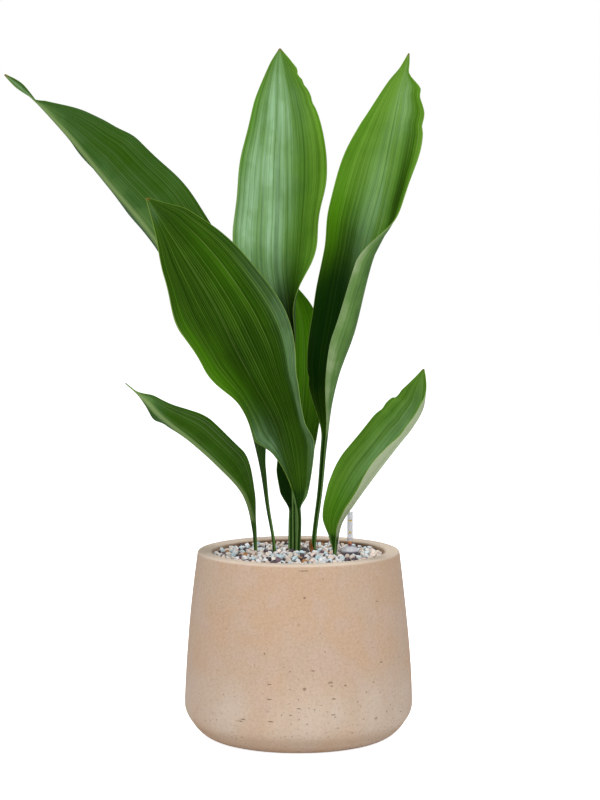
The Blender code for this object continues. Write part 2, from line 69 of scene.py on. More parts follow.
TABLE_REACH = 6.0  # metres each way


def linear(code):
    """The linear colour of an sRGB hex code."""
    channels = [int(code[i:i + 2], 16) / 255.0 for i in (0, 2, 4)]
    return [c / 12.92 if c <= 0.04045 else ((c + 0.055) / 1.055) ** 2.4 for c in channels] + [1.0]


# Settings of a kind of node that hold unless a call gives another one.
USUAL = {"MapRange": {"interpolation_type": "SMOOTHSTEP"}, "Math": {"operation": "MULTIPLY"},
         "Mix": {"data_type": "RGBA"}, "VectorMath": {"operation": "MULTIPLY"}}


def add(tree, kind, *values, inputs=None, output=None, **settings):
    """A new node's first open output, or the named one. A kind may carry its operation after a
    dot. Values fill its open inputs in turn, and inputs fills them by name. Each is a number, a
    hex colour or another node's output."""
    kind, *operation = kind.split(".")
    made = tree.nodes.new(kind if "Node" in kind else "ShaderNode" + kind)
    for name, value in {**USUAL.get(kind, {}), **settings}.items():
        setattr(made, name, value)
    if operation:
        made.operation = operation[0]
    pairs = list(zip([one for one in made.inputs if one.enabled], values))
    pairs += [(made.inputs[name], value) for name, value in (inputs or {}).items()]
    for one, value in pairs:
        if isinstance(value, bpy.types.NodeSocket):
            tree.links.new(value, one)
        else:
            one.default_value = linear(value) if one.type == "RGBA" else value
    return next((one for one in made.outputs if one.enabled and output in (None, one.name)), None)


bpy.context.scene.view_settings.view_transform = "Standard"
camera = bpy.data.objects.new("camera", bpy.data.cameras.new("camera"))
camera.data.lens = LENS
camera.data.sensor_width = SENSOR
camera.location = EYE
camera.rotation_euler = (math.radians(90.0 - EYE_DOWN), 0.0, 0.0)
bpy.context.scene.collection.objects.link(camera)
bpy.context.scene.camera = camera

room = bpy.data.worlds.new("white_room")
room.use_nodes = True
room.node_tree.nodes.clear()
shown = add(room.node_tree, "Background", "FFFFFF", SHOWN)
lit = add(room.node_tree, "Background", "F4F7FF", LIT)
either = add(room.node_tree, "MixShader", add(room.node_tree, "LightPath"), lit, shown)
add(room.node_tree, "OutputWorld", either)
bpy.context.scene.world = room

# Each light: place, size across and down, power in watts, tint.
for name, place, size, power, tint in (
        ("key_softbox", (-0.8, -2.5, 1.9), (1.5, 1.1), 33.0, "FFFBF6"),
        ("fill_softbox", (1.7, -2.0, 1.1), (1.2, 1.2), 10.0, "FFFFFF"),
        ("top_softbox", (0.0, 0.2, 2.2), (1.4, 1.0), 25.0, "F6FAFF")):
    light = bpy.data.objects.new(name, bpy.data.lights.new(name, "AREA"))
    light.data.shape = "RECTANGLE"
    light.data.size, light.data.size_y = size
    light.data.energy = power
    light.data.color = linear(tint)[:3]
    light.location = place
    aim = Vector((0.0, 0.0, 0.35)) - light.location
    light.rotation_euler = aim.to_track_quat("-Z", "Y").to_euler()
    bpy.context.scene.collection.objects.link(light)

floor_mesh = bpy.data.meshes.new("floor")
corners = [(x * TABLE_REACH, y * TABLE_REACH, 0.0) for x, y in ((-1, -1), (1, -1), (1, 1), (-1, 1))]
floor_mesh.from_pydata(corners, [], [(0, 1, 2, 3)])
floor = bpy.data.objects.new("floor", floor_mesh)
bpy.context.scene.collection.objects.link(floor)
table = bpy.data.materials.new("white_table_matt")
table.use_nodes = True
table.node_tree.nodes.clear()
table_skin = add(table.node_tree, "BsdfPrincipled", inputs={"Base Color": "FBFBFB", "Roughness": 0.9})
glow = add(table.node_tree, "Emission", "FFFFFF", TABLE_GLOW)
none = add(table.node_tree, "Emission", "FFFFFF", 0.0)
extra = add(table.node_tree, "MixShader", add(table.node_tree, "LightPath"), none, glow)
add(table.node_tree, "OutputMaterial", add(table.node_tree, "AddShader", table_skin, extra))
floor_mesh.materials.append(table)


# ---------------------------------------------------------------- planter
# One casting of fibre-reinforced concrete, washed back to a matt, sandy beige: a tapered wall
# with a rounded lip, widest just above the rounded-off foot. Replaces the CAD planter.
PLANTER_HEIGHT = 190.0
RIM_RADIUS = 101.6
BELLY_RADIUS = 114.9
BELLY_HEIGHT = 46.0
WALL_SWELL = 1.0
TAPER_POWER = 1.15
LIP_ROUND = 3.2
MOUTH_RADIUS = 87.0
MOUTH_ROUND = 3.0
FOOT_CURVE = [(80.5, 0.0), (90.0, 1.9), (97.8, 6.0), (104.2, 12.0), (108.8, 18.2), (112.6, 24.4),
              (114.9, 31.0), (115.2, 38.0)]
PLANTER_STEPS = 300
WALL_PITCH, CAVITY_PITCH = 2.4, 6.0
FLOOR_HEIGHT = 18.0
CAVITY = [(87.0, 176.0), (100.4, 46.0), (97.0, 29.0), (92.0, 21.0), (84.0, FLOOR_HEIGHT)]
UNEVEN = 0.22  # how far the casting strays from round


def arc(centre, radius, start, end, steps):
    """Points of an arc in the (radius, height) plane, angles in degrees."""
    angles = np.radians(np.linspace(start, end, steps + 1))
    return [(centre[0] + radius * math.cos(a), centre[1] + radius * math.sin(a)) for a in angles]


def smooth(knots, values, at, limited=True):
    """Smooth curve through rows of values; limited slopes never overshoot between two knots."""
    knots, values, at = np.asarray(knots, float), np.asarray(values, float), np.asarray(at, float)
    span = np.diff(knots)[:, None]
    rise = np.diff(values, axis=0) / span
    slope = np.empty_like(values)
    slope[0], slope[-1] = rise[0], rise[-1]
    before, after = rise[:-1], rise[1:]
    if limited:
        same = before * after > 0
        total = np.where(same, before + after, 1.0)
        slope[1:-1] = np.where(same, 2 * before * after / total, 0.0)
    else:
        slope[1:-1] = (before * span[1:] + after * span[:-1]) / (span[1:] + span[:-1])
    place = np.clip(np.searchsorted(knots, at, side="right") - 1, 0, len(knots) - 2)
    h = np.diff(knots)[place][:, None]
    t = ((at - knots[place])[:, None]) / h
    return ((1 + 2 * t) * (1 - t) ** 2 * values[place] + t * (1 - t) ** 2 * h * slope[place]
            + t * t * (3 - 2 * t) * values[place + 1] + t * t * (t - 1) * h * slope[place + 1])


def even(points, pitch):
    """Points at even steps along a smooth line through the given ones."""
    points = np.asarray(points, float)
    along = np.concatenate([[0.0], np.cumsum(np.linalg.norm(np.diff(points, axis=0), axis=1))])
    count = max(2, int(round(along[-1] / pitch)) + 1)
    return smooth(along, points, np.linspace(0.0, along[-1], count), limited=False)


def piece(name, points, faces, materials=(), sharp=None):
    """An object from points in millimetres, smooth except over edges sharper than that angle."""
    mesh = bpy.data.meshes.new(name)
    mesh.from_pydata((np.asarray(points, float) * MM).tolist(), [], faces)
    mesh.update()
    mesh.shade_smooth()
    if sharp is not None:
        mesh.set_sharp_from_angle(angle=math.radians(sharp))
    for one in materials:
        mesh.materials.append(one)
    made = bpy.data.objects.new(name, mesh)
    bpy.context.scene.collection.objects.link(made)
    return made


def turned(name, profile, steps, materials=(), centre=(0.0, 0.0), sharp=None, stray=None):
    """A closed body of revolution. The (radius, height) profile starts and ends on the axis, or
    closes on itself as a ring. Stray moves each point in or out by (angle, height)."""
    profile = np.asarray(profile, float)
    ring = profile[0, 0] > 0
    inner = profile if ring else profile[1:-1]
    turns = np.linspace(0.0, 2.0 * math.pi, steps, endpoint=False)
    radius = np.repeat(inner[:, :1], steps, axis=1)
    height = np.repeat(inner[:, 1:], steps, axis=1)
    if stray is not None:
        radius = radius + stray(turns[None, :], height) * np.minimum(radius / BELLY_RADIUS, 1.0)
    points = np.stack([centre[0] + radius * np.cos(turns), centre[1] + radius * np.sin(turns), height],
                      axis=-1)
    points = points.reshape(-1, 3).tolist()
    count = len(inner)
    faces = []
    for i in range(count if ring else count - 1):
        k = (i + 1) % count
        for j in range(steps):
            n = (j + 1) % steps
            faces.append((i * steps + j, i * steps + n, k * steps + n, k * steps + j))
    if not ring:
        first, last = len(points), len(points) + 1
        points += [(*centre, profile[0, 1]), (*centre, profile[-1, 1])]
        for j in range(steps):
            n = (j + 1) % steps
            faces.append((first, n, j))
            faces.append((last, (count - 1) * steps + j, (count - 1) * steps + n))
    return piece(name, points, faces, materials, sharp)


def new_material(name):
    """An empty node material, what adds nodes to it, and the piece's own place in millimetres."""
    made = bpy.data.materials.new(name)
    made.use_nodes = True
    made.node_tree.nodes.clear()
    node = partial(add, made.node_tree)
    place = node("VectorMath.SCALE", node("TexCoord", output="Object"), inputs={"Scale": 1.0 / MM})
    return made, node, place


def finish(node, colour, roughness, bump, depth, **shader):
    """The surface and its output; bump is a height of up to that depth in millimetres."""
    inputs = {name.replace("_", " "): value for name, value in shader.items()}
    inputs["Normal"] = node("Bump", inputs={"Height": bump, "Distance": depth * MM, "Strength": 1.0})
    node("OutputMaterial", node("BsdfPrincipled", colour, inputs={"Roughness": roughness, **inputs}))


def planter_concrete():
    """Washed fibre-concrete: cloudy peach, pink and chalk-grey beige, sandy grain, small pits."""
    material, node, place = new_material("fibre_concrete_washed_matt")
    split = node("SeparateXYZ", place).node.outputs
    height = split["Z"]
    clouds = node("TexNoise", place, 1.0 / 62.0, 3.0)
    patches = node("TexNoise", place, 1.0 / 24.0, 4.0)
    streaks = node("TexNoise", node("VectorMath", place, (1.0, 1.0, 0.45)), 1.0 / 30.0, 3.0)
    colour = node("Mix", node("MapRange", clouds, 0.40, 0.62), "CEAE91", "CCB29A")
    colour = node("Mix", node("MapRange", patches, 0.46, 0.68, 0.0, 0.55), colour, "D0B5A3")
    # the belly is chalkier and the upper wall warmer
    belly = node("MapRange", height, 6.0, 26.0, 0.45, 1.0)
    above = node("MapRange", height, 45.0, 92.0, 1.0, 0.0)
    chalk = node("Math", node("Math", belly, above), node("MapRange", streaks, 0.28, 0.66, 0.25, 1.0))
    colour = node("Mix", node("Math", chalk, 0.62), colour, "DACAB8")
    # a darker band low on the foot, where it turns under: painted shade
    foot = node("MapRange", height, 9.0, 14.0, 0.0, 0.35)
    foot = node("Math", foot, node("MapRange", height, 24.0, 15.0))
    colour = node("Mix", foot, colour, "B59A80")
    # sandy grain
    grain = node("TexNoise", place, 1.0 / 0.9, 2.0)
    coarse = node("TexNoise", place, 1.0 / 2.6, 2.0)
    sand = node("Math.ADD", node("MapRange", grain, 0.3, 0.7, -0.5, 0.5),
                node("MapRange", coarse, 0.3, 0.7, -0.4, 0.4))
    colour = node("Mix", node("MapRange", sand, 0.1, 0.9, 0.0, 0.30), colour, "E4D0B8")
    colour = node("Mix", node("MapRange", sand, -0.1, -0.9, 0.0, 0.34), colour, "9D8266")
    # pits and short dashes, most of them low on the wall, laid out on the unrolled wall
    turn = node("Math.ARCTAN2", split["X"], node("Math", split["Y"], -1.0))
    unrolled = node("CombineXYZ", node("Math", turn, BELLY_RADIUS), height)
    low = node("MapRange", height, 10.0, 120.0, 1.0, 0.06)
    pits = None
    for cell, stretch, share, size in ((9.0, (1.0, 1.0, 1.0), 0.26, 0.062),
                                       (13.0, (0.42, 1.7, 1.0), 0.26, 0.062),
                                       (6.0, (0.8, 1.3, 1.0), 0.20, 0.070)):
        spread = node("VectorMath", unrolled, stretch)
        cells = node("TexVoronoi", spread, 1.0 / cell, voronoi_dimensions="2D").node.outputs
        chosen = node("SeparateColor", cells["Color"]).node.outputs
        keep = node("Math.LESS_THAN", chosen[0], node("Math", low, share))
        reach = node("Math", chosen[1], size)
        reach = node("Math.ADD", reach, 0.5 * size)
        near = node("Math.DIVIDE", cells["Distance"], reach)
        near = node("Math.ADD", near, node("MapRange", grain, 0.3, 0.7, -0.3, 0.3))
        hole = node("Math", node("MapRange", near, 0.5, 1.1, 1.0, 0.0), keep)
        pits = hole if pits is None else node("Math.MAXIMUM", pits, hole)
    # marks left by the mould: turn about the axis (0 is -Y), height, half length, half thickness
    for angle, at, long, thick in ((0.055, 184.6, 5.0, 0.7), (0.28, 76.0, 2.6, 0.9), (0.42, 72.0, 1.5, 0.8),
                                   (0.05, 70.5, 2.0, 1.3), (0.12, 88.0, 2.2, 0.5), (-0.30, 104.0, 1.1, 0.9),
                                   (0.06, 158.5, 1.7, 1.0), (0.72, 36.0, 2.2, 0.9), (-0.52, 36.0, 4.2, 0.5),
                                   (0.34, 31.0, 2.4, 0.4), (2.4, 80.0, 2.6, 0.8), (-2.0, 58.0, 2.2, 0.9)):
        aside = node("Math", node("Math.SUBTRACT", turn, angle), BELLY_RADIUS / long)
        off = node("Math.DIVIDE", node("Math.SUBTRACT", height, at), thick)
        away = node("Math.SQRT", node("Math.ADD", node("Math", aside, aside), node("Math", off, off)))
        away = node("Math.ADD", away, node("MapRange", coarse, 0.3, 0.7, -0.35, 0.35))
        pits = node("Math.MAXIMUM", pits, node("MapRange", away, 0.5, 1.2, 0.85, 0.0))
    colour = node("Mix", node("Math", pits, 0.70), colour, "72563E")
    # the lip is rubbed greyer and also painted lighter, painted light on its top; the inside below the lip
    # is brown towards the back, partly damp and partly painted shade
    reach = node("VectorMath.LENGTH", node("CombineXYZ", split["X"], split["Y"]))
    lip = node("MapRange", height, 187.2, 189.4)
    colour = node("Mix", node("Math", lip, 0.80), colour, "E6D4C0")
    damp_and_shade = node("Math", node("MapRange", reach, 88.4, 87.3), node("MapRange", height, 188.4, 186.6))
    damp_and_shade = node("Math", damp_and_shade, node("MapRange", split["Y"], 20.0, 74.0, 0.0, 1.0))
    colour = node("Mix", damp_and_shade, colour, node("Mix", node("MapRange", patches, 0.4, 0.6), "7D5B40", "8E6E50"))
    bump = node("Math.SUBTRACT", node("Math", sand, 0.12), node("Math", pits, 0.9))
    finish(node, colour, node("MapRange", patches, 0.3, 0.7, 0.82, 0.92), bump, 0.45,
           Specular_IOR_Level=0.28)
    return material


def casting_stray(turn, height):
    """The casting's long, shallow unevenness, and a slight wave in its lip."""
    wave = np.sin(2 * turn + 0.6) + 0.5 * np.sin(5 * turn + height / 31.0)
    return UNEVEN * (wave + 0.35 * np.sin(9 * turn - height / 17.0))


def wall_radius(height):
    """Outer radius of the wall above the belly: nearly straight, with a slight swell."""
    share = (height - BELLY_HEIGHT) / (PLANTER_HEIGHT - BELLY_HEIGHT)
    taper = (RIM_RADIUS - BELLY_RADIUS) * share ** TAPER_POWER
    return BELLY_RADIUS + taper + WALL_SWELL * math.sin(math.pi * share)


lip_height = PLANTER_HEIGHT - LIP_ROUND
outside = FOOT_CURVE + [(wall_radius(h), h) for h in np.linspace(BELLY_HEIGHT, lip_height - 2.0, 7)]
outside = even(outside, WALL_PITCH).tolist()
outside += arc((wall_radius(lip_height) - LIP_ROUND, lip_height), LIP_ROUND, 0, 90, 7)
inside = arc((MOUTH_RADIUS + MOUTH_ROUND, PLANTER_HEIGHT - MOUTH_ROUND), MOUTH_ROUND, 90, 180, 6)
inside += even([(MOUTH_RADIUS, 184.0)] + CAVITY, CAVITY_PITCH).tolist()
base = [(0.0, 0.0), (30.0, 0.0), (60.0, 0.0)]
planter = turned("planter_casting", base + outside + inside + [(0.0, FLOOR_HEIGHT)], PLANTER_STEPS,
                 [planter_concrete()], stray=casting_stray)
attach(planter, "planted_pot")
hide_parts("planter")


# ---------------------------------------------------------------- rhizome
# The creeping stem and its roots, under the granules. The CAD shape stays; it gets the bark of
# a rhizome, ringed with the scars of old scale leaves.
def rhizome_bark():
    """Fibrous brown bark with darker rings and pale root hairs."""
    material, node, place = new_material("rhizome_bark_fibrous")
    fibres = node("TexNoise", node("VectorMath", place, (1.0, 1.0, 0.25)), 1.0 / 1.6, 3.0)
    rings = node("TexNoise", node("VectorMath", place, (1.6, 0.7, 0.3)), 1.0 / 3.5, 2.0)
    colour = node("Mix", node("MapRange", fibres, 0.35, 0.65), "6B4526", "A3784A")
    colour = node("Mix", node("MapRange", rings, 0.52, 0.62, 0.0, 0.6), colour, "3D2614")
    finish(node, colour, node("MapRange", fibres, 0.3, 0.7, 0.75, 0.9), fibres, 0.6, Specular_IOR_Level=0.3)
    return material


frame["nodes"]["rhizome"].data.materials.clear()
frame["nodes"]["rhizome"].data.materials.append(rhizome_bark())


# ---------------------------------------------------------------- granules
# A loose mineral mix filled to just under the lip: white and bluish pumice, cream zeolite, a few
# ochre grains and dark lava. Each grain is dropped where the bed is lowest and settles on it.
BED_TOP = 183.0
BED_RADIUS = 86.4
BED_SLOPE = 0.018  # it rises to the front
GRAIN_COUNT = 1750
GRAIN_RADII = (2.2, 4.9)  # half sizes
GRID = 0.5
ROCKS = 12
ROCK_POINTS = 17
GRAIN_TILT = 0.45  # radians
GRAIN_POWER = 1.3  # small grains outnumber large ones
GRAIN_FLATNESS = 0.72  # grains lie flat
GRAIN_REST = 0.8  # share of its height at which a grain carries the next
FIRST_LAYER = 1.6  # how deep the first grains sink into the bed
GRAIN_TRIES = 14  # places tried for each grain, of which it takes the lowest
HEAP_LIMIT = 4.2  # above the bed
WALL_HEIGHT = 40.0  # what keeps grains off the stalks, the gauge and the planter
MARGIN = 6.0
SEED = 41
STALK_FEET = {"leaf_rear_left": (-24, 26), "leaf_rear_middle": (-4, 26), "leaf_right": (15, 22),
              "leaf_front": (0, 19), "leaf_low_left": (-43, 19), "leaf_low_right": (36, -9),
              "leaf_rear_low": (-8, 33)}
STALK_CLEAR = 2.6
GAUGE_AT = (52.0, 0.0)
GAUGE_CLEAR = 9.4


def settle(count, rng):
    """Where each grain comes to rest: rows of x, y, z, half size, turn about Z."""
    cells = int(2 * (BED_RADIUS + MARGIN) / GRID)
    axis = (np.arange(cells) + 0.5) * GRID - (BED_RADIUS + MARGIN)
    grid_x, grid_y = np.meshgrid(axis, axis, indexing="ij")
    surface = BED_TOP - FIRST_LAYER - BED_SLOPE * grid_y
    blocked = np.hypot(grid_x, grid_y) > BED_RADIUS
    for x, y in STALK_FEET.values():
        blocked |= np.hypot(grid_x - x, grid_y - y) < STALK_CLEAR
    blocked |= np.hypot(grid_x - GAUGE_AT[0], grid_y - GAUGE_AT[1]) < GAUGE_CLEAR
    surface[blocked] = BED_TOP + WALL_HEIGHT
    free = np.argwhere(~blocked)
    grains = []
    for _ in range(count):
        size = GRAIN_RADII[0] + (GRAIN_RADII[1] - GRAIN_RADII[0]) * rng.random() ** GRAIN_POWER
        span = int(math.ceil(size / GRID))
        offset = np.arange(-span, span + 1)
        bowl = (offset[:, None] ** 2 + offset[None, :] ** 2) * GRID ** 2
        inside = bowl <= size ** 2
        dome = GRAIN_FLATNESS * np.sqrt(np.maximum(size ** 2 - bowl, 0.0))
        best = None
        for i, j in free[rng.integers(0, len(free), GRAIN_TRIES)]:
            i = min(max(i, span), cells - span - 1)
            j = min(max(j, span), cells - span - 1)
            under = surface[i - span:i + span + 1, j - span:j + span + 1]
            rest = np.max(np.where(inside, under + dome, -1.0))
            if best is None or rest < best[0]:
                best = (rest, i, j)
        rest, i, j = best
        if rest > BED_TOP + HEAP_LIMIT - BED_SLOPE * axis[j]:
            continue
        under = surface[i - span:i + span + 1, j - span:j + span + 1]
        under[inside] = np.maximum(under[inside], (rest + GRAIN_REST * dome)[inside])
        grains.append((axis[i], axis[j], rest, size, rng.random() * 2.0 * math.pi))
    return np.array(grains)


def rock(name, rng):
    """A broken grain about one unit across: the hull of a few points on a squashed ball."""
    bm = bmesh.new()
    for _ in range(ROCK_POINTS):
        way = Vector(rng.normal(size=3)).normalized()
        reach = 0.82 + 0.3 * rng.random()
        bm.verts.new((way.x * reach, way.y * reach * (0.7 + 0.25 * rng.random()), way.z * reach * 0.78))
    bmesh.ops.convex_hull(bm, input=bm.verts)
    bmesh.ops.delete(bm, geom=[v for v in bm.verts if not v.link_faces], context="VERTS")
    bmesh.ops.recalc_face_normals(bm, faces=bm.faces)
    mesh = bpy.data.meshes.new(name)
    bm.to_mesh(mesh)
    bm.free()
    return bpy.data.objects.new(name, mesh)


def grain_material():
    """Crushed minerals, dry and matt: each grain takes one mineral's colour by its own number,
    with pores, crystal flecks, and dust and painted shade in the hollows."""
    material, node, place = new_material("mineral_granules_dry_matt")
    kind = node("Attribute", attribute_name="mineral", output="Fac")
    tone = node("Attribute", attribute_name="tone", output="Fac")
    cloud = node("TexNoise", place, 1.0 / 2.2, 3.0)
    grit = node("TexNoise", place, 1.0 / 0.55, 2.0)
    # white pumice, then where each other mineral's share starts, and its light and dark colours
    colour = "FFFFFF"
    for start, light, dark in ((0.20, "ECFBFF", "D2F0F8"), (0.40, "FFF5E8", "FAE4D2"),
                               (0.62, "FFEADC", "ECD2C4"), (0.72, "7C6068", "3C2C34"),
                               (0.86, "FFFFFB", "F6ECE2"), (0.94, "DDA870", "B87C40"),
                               (0.96, "5A4A4E", "30242A")):
        mineral = node("Mix", tone, dark, light)
        colour = node("Mix", node("Math.GREATER_THAN", kind, start), colour, mineral)
    colour = node("Mix", node("MapRange", cloud, 0.5, 0.72, 0.0, 0.14), colour, "A89488")
    colour = node("Mix", node("MapRange", grit, 0.56, 0.7, 0.0, 0.55), colour, "FFFFFF")
    colour = node("Mix", node("MapRange", grit, 0.40, 0.3, 0.0, 0.25), colour, "6A5850")
    # dust and shade gather low between the grains
    depth = node("MapRange", node("SeparateXYZ", place, output="Z"), BED_TOP + 0.2, BED_TOP - 1.6)
    colour = node("Mix", node("Math", depth, 0.7), colour, "3A2E30")
    finish(node, colour, node("MapRange", cloud, 0.3, 0.7, 0.75, 0.95), grit, 0.4, Specular_IOR_Level=0.35)
    return material


def bed_material():
    """The shaded, dusty bed between the grains: brown-grey crumbs."""
    material, node, place = new_material("granule_bed_dusty_matt")
    crumbs = node("TexNoise", place, 1.0 / 1.8, 3.0)
    colour = node("Mix", node("MapRange", crumbs, 0.38, 0.62), "2E2526", "6E5E58")
    finish(node, colour, 0.95, crumbs, 0.8, Specular_IOR_Level=0.2)
    return material


def socket(tree, name):
    """The identifier of a node group's input."""
    items = [item for item in tree.interface.items_tree if item.in_out == "INPUT"]
    return next(item.identifier for item in items if item.name == name)


def scatter_tree():
    """A rock on each point, turned and sized by the point, as real mesh with one material."""
    tree = bpy.data.node_groups.new("scatter_granules", "GeometryNodeTree")
    for name, way, kind in (("Points", "INPUT", "Geometry"), ("Rocks", "INPUT", "Collection"),
                            ("Seed", "INPUT", "Int"), ("Finish", "INPUT", "Material"),
                            ("Mesh", "OUTPUT", "Geometry")):
        tree.interface.new_socket(name=name, in_out=way, socket_type="NodeSocket" + kind)
    entry = add(tree, "NodeGroupInput").node.outputs
    seed = entry["Seed"]
    size = add(tree, "GeometryNodeInputNamedAttribute", "size")
    spin = add(tree, "CombineXYZ", 0.0, 0.0, add(tree, "GeometryNodeInputNamedAttribute", "turn"))
    tilt = add(tree, "FunctionNodeRandomValue", (-GRAIN_TILT, -GRAIN_TILT, 0.0),
               (GRAIN_TILT, GRAIN_TILT, 0.0), inputs={"Seed": seed}, data_type="FLOAT_VECTOR")
    lean = add(tree, "VectorMath.ADD", tilt, spin)
    choice = add(tree, "FunctionNodeRandomValue", 0, ROCKS - 1, inputs={"Seed": seed}, data_type="INT")
    shapes = add(tree, "GeometryNodeCollectionInfo", entry["Rocks"], True, True)
    grown = add(tree, "GeometryNodeInstanceOnPoints", entry["Points"],
                inputs={"Instance": shapes, "Pick Instance": True, "Instance Index": choice,
                        "Rotation": lean, "Scale": size})
    for name, own_seed in (("mineral", seed), ("tone", add(tree, "Math.ADD", seed, 7.0))):
        share = add(tree, "FunctionNodeRandomValue", 0.0, 1.0, inputs={"Seed": own_seed}, data_type="FLOAT")
        grown = add(tree, "GeometryNodeStoreNamedAttribute", grown, True, name, share, domain="INSTANCE")
    real = add(tree, "GeometryNodeRealizeInstances", grown)
    dressed = add(tree, "GeometryNodeSetMaterial", real, inputs={"Material": entry["Finish"]})
    add(tree, "NodeGroupOutput", dressed)
    return tree


rng = np.random.default_rng(SEED)
rocks = bpy.data.collections.new("rock_shapes")
for number in range(ROCKS):
    rocks.objects.link(rock(f"rock_{number:02d}", rng))
grains = settle(GRAIN_COUNT, rng)
points = bpy.data.meshes.new("grain_points")
points.from_pydata((grains[:, :3] * MM).tolist(), [], [])
for name, values in (("size", grains[:, 3] * MM), ("turn", grains[:, 4])):
    points.attributes.new(name, "FLOAT", "POINT").data.foreach_set("value", values.astype(np.float32))
spread = bpy.data.objects.new("grain_points", points)
bpy.context.scene.collection.objects.link(spread)
scatter = spread.modifiers.new("scatter", "NODES")
scatter.node_group = scatter_tree()
for name, value in (("Rocks", rocks), ("Seed", SEED), ("Finish", grain_material())):
    scatter[socket(scatter.node_group, name)] = value
bpy.context.view_layer.update()
heap = bpy.data.meshes.new_from_object(spread.evaluated_get(bpy.context.evaluated_depsgraph_get()))
heap.name = "granules"
bpy.data.objects.remove(spread)
granules = bpy.data.objects.new("granules", heap)
bpy.context.scene.collection.objects.link(granules)
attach(granules, "planted_pot")
for shape in list(rocks.objects):
    bpy.data.objects.remove(shape)
bpy.data.collections.remove(rocks)
frame["nodes"]["substrate"].data.materials.clear()
frame["nodes"]["substrate"].data.materials.append(bed_material())


# ---------------------------------------------------------------- leaves
# Seven Aspidistra leaves, each one channelled stalk running out into a pleated, parallel-veined
# blade: waxy and satin above, paler and duller below. Each grows from the rhizome, and each
# replaces its CAD leaf, whose stations it repeats at a finer step.
FOOT_HEIGHT, STALK_STRAIGHT = 169.8, 186.0  # each stalk rises straight to the second
FOOT_LIFT = 35.0
STALK_THICKNESS = 2.4
BLADE_THICKNESS = 0.9
EDGE_THICKNESS = 0.6
KEEL_FADE = 0.15
KEEL_REACH = 3.5
LEAF_STEPS = 170
HALF_STEPS = 22
PLEAT_DEPTH = 0.34
PATCH_KINDS = ("glow", "painted_sheen", "painted_shade")
LEAF_NUMBERS = ("across", "blade", "wide", "tone", "under", "own", *PATCH_KINDS)
PLEATS = 5.0  # on each half of the blade
WAVE_LENGTH = 74.0
FULL_WIDTH = 30.0  # half width from which pleats and ripples have their full depth
MAIN_VEINS, FINE_VEINS = 10.0, 23.0  # in each half, fewer than the real ones so that they show

